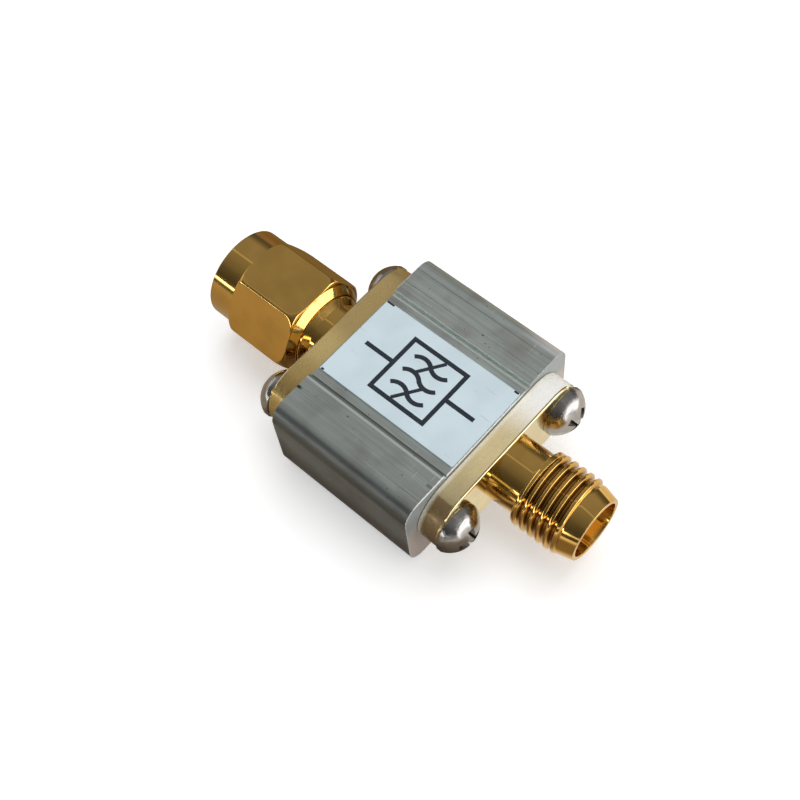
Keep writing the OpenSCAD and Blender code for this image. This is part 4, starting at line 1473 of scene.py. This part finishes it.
        # painted reflection: gold on the floor beside the nut
        near = finish.blend(beside_nut, near, nut_gold)
        lit = finish.times(finish.range(x, 7, 9.5, 0, 0.8), finish.range(y, -7, -3))
        far = finish.times(finish.range(away, 12, 50), jack_side)
        return finish.blend(finish.larger(far, lit), near, pale)

    def tent(self, stage):
        """A long tent over the object, seen only in mirrored rays, with strips of light."""
        half_long = 1
        radius = 0.3
        brightest = 5
        dim = (0.01, 0.01, 0.01, 1)
        bm = bmesh.new()
        ends = [bm.verts.new((x, 0, -radius)) for x in (-half_long, half_long)]
        rail = bm.edges.new(ends)
        bmesh.ops.spin(bm, geom=ends + [rail], cent=(0, 0, 0), axis=(1, 0, 0),
                       angle=math.tau, steps=96, use_merge=True)
        tent = mesh_object(bm, "tent")
        finish = Finish("tent", (0, 0, 0), 0, 1)
        x, y, z = finish.place()
        around = finish.math("DIVIDE", finish.math("ARCTAN2", y, z), math.pi)
        strip = finish.nodes.new("ShaderNodeValToRGB")
        finish.fill(strip.inputs["Fac"], finish.plus(finish.times(around, 0.5), 0.5))
        stops = strip.color_ramp.elements
        for degrees, light in self.strips():
            stop = stops.new((degrees + 180) / 360)
            grey = light / brightest
            stop.color = (grey, grey, grey, 1)
        stops.remove(stops[0])
        stops.remove(stops[len(stops) - 1])
        reach = finish.times(x, MM)
        slant = finish.plus(reach, finish.times(around, 0.6))
        window = finish.times(finish.range(slant, 0.42, 0.52),
                              finish.range(around, 0.5, 0.56, 1, 0))
        window = finish.times(window, finish.range(slant, 0.85, 1, 1, 0.12))
        window = finish.times(window, stage.window / brightest)
        dimmed = finish.times(finish.range(reach, 0, 0.12),
                              finish.range(around, -0.4, -0.36, 0.8, 0))
        strips = finish.blend(dimmed, strip.outputs["Color"], dim)
        glow = finish.nodes.new("ShaderNodeEmission")
        glow.inputs["Strength"].default_value = brightest * stage.tent
        finish.fill(glow.inputs["Color"], finish.blend(1, strips, window, "ADD"))
        finish.show(glow.outputs["Emission"])
        tent.data.materials.append(finish.material)
        tent.visible_camera = False
        tent.visible_diffuse = False
        tent.visible_transmission = False
        tent.visible_shadow = False
        tent.visible_volume_scatter = False

    def strips(self):
        """Angle from straight up, towards +Y, and brightness of each strip of the tent."""
        horizon = [(-100, 0.35), (-90, 0.3), (-86, 0.1), (-80, 0.12)]
        side_light = [(-77.5, 5), (-74.5, 5), (-73, 0.1)]
        dark_side = [(-62, 0.07), (-42, 0.11), (-30, 0.17)]
        overhead = [(-5, 0.24), (7, 0.26), (8.5, 0.55), (10.5, 0.55), (12, 0.28)]
        far_side = [(24, 0.3), (60, 0.3), (68, 0.2), (78, 0.1), (86, 0.12), (94, 0.35)]
        return horizon + side_light + dark_side + overhead + far_side

    def lamp(self, name, place, size, power):
        """A square soft lamp that points at the object and isn't mirrored in it."""
        data = bpy.data.lights.new(name, "AREA")
        data.shape = "SQUARE"
        data.size = size
        data.energy = power
        lamp = bpy.data.objects.new(name, data)
        lamp.location = place
        lamp.rotation_euler = Vector(place).to_track_quat("Z", "Y").to_euler()
        lamp.visible_glossy = False
        bpy.context.scene.collection.objects.link(lamp)


class FILTER_PT_sidebar(bpy.types.Panel):
    """Lists the steps and their sizes"""
    bl_idname = "FILTER_PT_sidebar"
    bl_label = "Coaxial filter"
    bl_space_type = "VIEW_3D"
    bl_region_type = "UI"
    bl_category = "Filter"

    def draw(self, context):
        settings = context.scene.coaxial_filter
        for operator in OPERATORS:
            self.layout.operator(operator.bl_idname)
        self.layout.prop(settings, "round_steps")
        for part in ("housing", "label", "connectors", "nut", "screws", "board", "stage"):
            box = self.layout.box()
            group = getattr(settings, part)
            for name in group.__annotations__:
                box.prop(group, name)


OPERATORS = (FILTER_OT_housing, FILTER_OT_label, FILTER_OT_plug, FILTER_OT_nut,
             FILTER_OT_jack, FILTER_OT_screws, FILTER_OT_board, FILTER_OT_stage)
CLASSES = (HousingSettings, LabelSettings, ConnectorSettings, NutSettings, ScrewSettings,
           BoardSettings, StageSettings, FilterSettings, *OPERATORS, FILTER_PT_sidebar)


def register():
    for part in CLASSES:
        bpy.utils.register_class(part)
    bpy.types.Scene.coaxial_filter = PointerProperty(type=FilterSettings)


def unregister():
    del bpy.types.Scene.coaxial_filter
    for part in reversed(CLASSES):
        bpy.utils.unregister_class(part)


def main():
    register()
    bpy.ops.coaxial_filter.housing()
    bpy.ops.coaxial_filter.label()
    bpy.ops.coaxial_filter.plug()
    bpy.ops.coaxial_filter.nut()
    bpy.ops.coaxial_filter.jack()
    bpy.ops.coaxial_filter.screws()
    bpy.ops.coaxial_filter.board()
    bpy.ops.coaxial_filter.stage()


if __name__ == "__main__":
    main()
